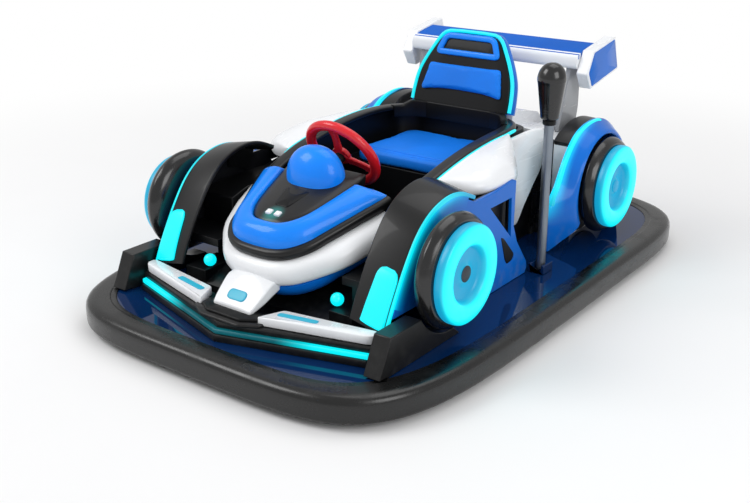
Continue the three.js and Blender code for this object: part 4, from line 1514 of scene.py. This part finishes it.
RIM_RADIUS = 96
section = circle(16, 13.6, 12.6)
rings = [
    [raked((RIM_RADIUS + s) * x, (RIM_RADIUS + s) * y, h) for s, h in section] for x, y in circle(72, 1.0)
]
wear(loft("steering_rim", rings, closed=True, smooth=70), RED, "steering", instead="steering_wheel")
for n, degrees in enumerate((90, 210, 330)):
    a = math.radians(degrees)
    along, across = Vector((math.cos(a), math.sin(a), 0)), Vector((-math.sin(a), math.cos(a), 0))
    rings = []
    for r, wide, dip in ((8, 13, 8), (24, 12, 7), (42, 10, 3), (62, 9.5, 0), (84, 12, 0), (92, 14, 0)):
        ring = []
        for s, h in soften([(-wide, -5), (wide, -5), (wide, 4), (-wide, 4)], 3, 3):
            p = along * r + across * s
            ring.append(raked(p.x, p.y, h + dip))
        rings.append(ring)
    wear(loft(f"steering_spoke_{n}", rings, smooth=50), RED, "steering")
hub = ((26, 10), (27, 4), (25, -1), (19, -4.5), (8, -6), (1, -6.2))
rings = [[raked(x, y, h) for x, y in circle(40, r)] for r, h in hub]
wear(loft("steering_hub", rings, smooth=60), RED, "steering")
print("steering wheel at", steer["pos_m"])


# %% [markdown]
# The grip of the drive lever is a pear shape, turned round an upright axis. A line smoothed
# between a few radii is enough, because such a grip is moulded in one piece. A black collar
# hides the joint with the pole.

# %% Drive lever grip
low, high = (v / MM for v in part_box("lever_grip"))
mid = (low + high) / 2
tall = high.z - low.z
profile = smooth_line(
    [
        (19, 0), (23.5, 4), (26, 22), (31, 60), (35, 90), (37, 101), (35.6, 114), (30, 128), (20, 139),
        (9, 143.6), (0.6, tall - 0.1)
    ],
    4
)
profile = [(0.6, 0.6)] + profile
rings = [[(mid.x + x, mid.y + y, low.z + h) for x, y in circle(48, r)] for r, h in profile]
wear(loft("lever_grip_skin", rings, smooth=50), TYRE, "hand_lever", instead="lever_grip")
collar = [(12.7, -14), (16, -14), (17.5, -11), (17.5, -2), (15, 0.2), (12.7, 0.2)]
rings = [[(mid.x + x, mid.y + y, low.z + h) for x, y in circle(40, r)] for r, h in collar]
wear(loft("lever_collar", rings, closed=True, smooth=40), BLACK, "hand_lever")
print("lever grip", round(tall, 1), "mm tall")


# %% [markdown]
# In front a dark splitter with a lit slot carries two white flaps. The flaps are thin
# blades with round edges, swept back with the splitter, and each has a plain lamp near its
# inner end. A stepped black bracket fills the gap under the beak.

# %% Flaps, slot light and bracket
def blade(name, outline, z0, z1, material, r, instead=None):
    """A flat plate between two heights, its edge rounded to the radius r."""
    edge = normals_2d(outline, closed=True)
    pairs = zip(outline, outline[1:] + outline[:1])
    turn = 1 if sum(x0 * y1 - x1 * y0 for (x0, y0), (x1, y1) in pairs) > 0 else -1
    levels = [(r, z0), (r * 0.3, z0 + r * 0.3), (0, z0 + r), (0, z1 - r), (r * 0.3, z1 - r * 0.3), (r, z1)]
    rings = []
    for inset, h in levels:
        rings.append(
            [(x + n[0] * inset * turn, y + n[1] * inset * turn, h) for (x, y), n in zip(outline, edge)]
        )
    return wear(loft(name, rings, smooth=50), material, instead=instead)


for side, sign in SIDES:
    flap = [
        (sign * x, y)
        for x, y in soften(
            [(90, -714), (352, -644), (364, -634), (365, -614), (352, -609), (117, -648)],
            [7, 10, 10, 10, 10, 8], 5
        )
    ]
    blade(f"front_flap_{side}_skin", flap, 122.6, 145.0, WHITE, 3.2, f"front_flap_{side}")
    direction = Vector((1.0, sign * 0.2, 0)).normalized()
    on_flap = plane((sign * 172, -665, 145.0), direction, (-direction.y, direction.x, 0))
    pad(f"flap_spot_{side}", pill(104, 17), on_flap, 1.6, SPOT)

rings = []
for k in range(-20, 21):
    x = 361.5 * k / 20
    lead = -761.5 + 0.29 * abs(x)
    rings.append(
        [
            (x, lead + d, z)
            for d, z in soften([(0, 94.5), (40, 94.5), (40, 106), (0, 106)], [3, 0.5, 0.5, 3], 3)
        ]
    )
strip = loft("splitter_strip", rings, smooth=50)
wear(strip, STRIP, instead="splitter_light", glow=lambda i, p: clamp((abs(p.x) - 150) / 90.0))
bracket = soften([(-58, -748), (58, -748), (104, -722), (112, -690), (-112, -690), (-104, -722)], 6)
blade("beak_bracket_lower", bracket, 120.0, 129.0, CHARCOAL, 3.0)
bracket = soften([(-52, -734), (52, -734), (88, -712), (92, -680), (-92, -680), (-88, -712)], 6)
blade("beak_bracket_upper", bracket, 127.0, 136.0, BLACK, 3.0)
for side, sign in SIDES:
    rings = []
    for i in range(13):
        t = math.pi * i / 12
        r = max(16 * math.sin(t), 0.5)
        rings.append([(sign * (206 + a), -565 - 16 * math.cos(t), 166 + b) for a, b in circle(28, r)])
    wear(loft(f"ball_lamp_{side}", rings, smooth=70), CYAN, glow=1.0)
print("front wing dressed")


# %% [markdown]
# The rear wing is one closed section drawn out across the car, with a thin post below each
# end and a panel on each end plate. The white lip and line on top are only paint, which has
# no thickness, so the material asks where a point lies instead of a shape being added.

# %% Rear wing
low, high = (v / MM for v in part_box("wing_blade"))
half = high.x - 0.5
section = smooth_line(
    [
        (434, 552), (431, 566), (434, 582), (446, 589), (490, 598), (530, 605), (548, 607), (556, 603),
        (554, 597), (540, 588), (500, 570), (462, 551), (446, 547)
    ],
    4, closed=True
)
rings = [[(x, y, z) for y, z in section] for x in (-half, -half * 0.5, 0, half * 0.5, half)]


def wing_paint(f, base):
    """Blue on top, with a white leading lip and a white line above it."""
    across, along, height = f.axes()
    lip = (along < 0.4415) + (height < 0.5755) * (along < 0.50)
    line = (along > 0.4475) * (along < 0.4555) * (height > 0.57)
    white = (lip + line).math("MINIMUM", lip + line, 1.0)
    return f.mix(white, base, linear(0xEDEFF2))


WING_BLUE = gel_coat("wing_paint", 0x0560C6, rough=0.4, coat=0.0, spec=0.08, paint=wing_paint)
wear(loft("wing_blade_skin", rings, smooth=45), WING_BLUE, instead="wing_blade")
for side, sign in SIDES:
    stay = soften(
        [(396, 370), (502, 370), (516, 420), (512, 590), (446, 575), (450, 545)], [4, 4, 20, 3, 3, 20], 5
    )
    levels = ((0.02, 245.5), (0.0, 248), (0.0, 256), (0.02, 258.5))
    rings = [[(sign * x, y + (450 - y) * taper, z) for y, z in stay] for taper, x in levels]
    wear(loft(f"wing_stay_{side}", rings), GREY)
    plate = soften([(440, 540), (464, 499), (630, 529), (597, 615), (468, 594)], 4)
    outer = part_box("wing_endplate_left")[1].x / MM
    levels = ((1.0, outer - 2), (1.0, outer + 0.6), (0.985, outer + 1.4), (0.3, outer + 1.4))
    wear(side_plate(f"endplate_panel_{side}", sign, plate, centre_of(plate), levels), DEEP_BLUE)
print("rear wing span", round(2 * half), "mm")


# %% [markdown]
# The car stands on a plain pale floor in soft light: one large lamp high on the left, a
# weaker one on the right, a third above and behind, and a pale sky that only fills the
# shadows. Far from the car the floor turns plain white for every ray that shows it, while
# the floor close by keeps its shadow.

# %% Stage and lights
floor_mesh = bpy.data.meshes.new("studio_floor")
floor_mesh.from_pydata([(-30, -30, 0), (30, -30, 0), (30, 60, 0), (-30, 60, 0)], [], [(0, 1, 2, 3)])
floor = bpy.data.objects.new("studio_floor", floor_mesh)
scene.collection.objects.link(floor)
paper = Finish("studio_paper")
grain = paper.noise(2.0, 3.0)
paper.set(
    Base_Color=paper.mix(grain, (0.84, 0.84, 0.845), (0.87, 0.87, 0.875)), Roughness=0.9,
    Specular_IOR_Level=0.1
)
across, along, _ = paper.axes()
away = (across * across + along * along) ** 0.5
path = paper.node("ShaderNodeLightPath")
seen = Value(paper, path.outputs["Is Camera Ray"])
for kind in ("Glossy", "Transmission"):
    seen = seen.math("MAXIMUM", seen, path.outputs[f"Is {kind} Ray"])
plain = paper.node("ShaderNodeEmission", None, {"Color": (1.0, 1.0, 1.0), "Strength": 1.0})
blend = paper.node("ShaderNodeMixShader", None, {0: away.ramp(0.9, 3.0) * seen})
paper.tree.links.new(paper.shader.outputs[0], blend.inputs[1])
paper.tree.links.new(plain.outputs[0], blend.inputs[2])
paper.tree.links.new(blend.outputs[0], paper.tree.nodes["Material Output"].inputs["Surface"])
floor_mesh.materials.append(paper.material)

world = bpy.data.worlds.new("studio_sky")
scene.world = world
world.use_nodes = True
sky = world.node_tree
back = sky.nodes["Background"]
back.inputs["Color"].default_value = (1.0, 1.0, 1.0, 1.0)
path = sky.nodes.new("ShaderNodeLightPath")
level = sky.nodes.new("ShaderNodeMapRange")
level.inputs["To Min"].default_value = 0.62
level.inputs["To Max"].default_value = 1.0
sky.links.new(path.outputs["Is Camera Ray"], level.inputs["Value"])
sky.links.new(level.outputs["Result"], back.inputs["Strength"])


def softbox(name, place, aim, size, watts):
    data = bpy.data.lights.new(name, "AREA")
    data.shape, data.size, data.size_y = "RECTANGLE", size, size
    data.energy = watts
    lamp = bpy.data.objects.new(name, data)
    lamp.location = place
    lamp.rotation_euler = (Vector(aim) - Vector(place)).to_track_quat("-Z", "Y").to_euler()
    scene.collection.objects.link(lamp)


softbox("key_softbox", (-2.6, -2.6, 3.6), (0, 0, 0.2), 2.4, 88)
softbox("fill_softbox", (3.4, -1.2, 2.2), (0, 0, 0.2), 2.0, 44)
softbox("top_softbox", (0.2, 1.2, 4.2), (0, 0.1, 0.2), 3.0, 40)
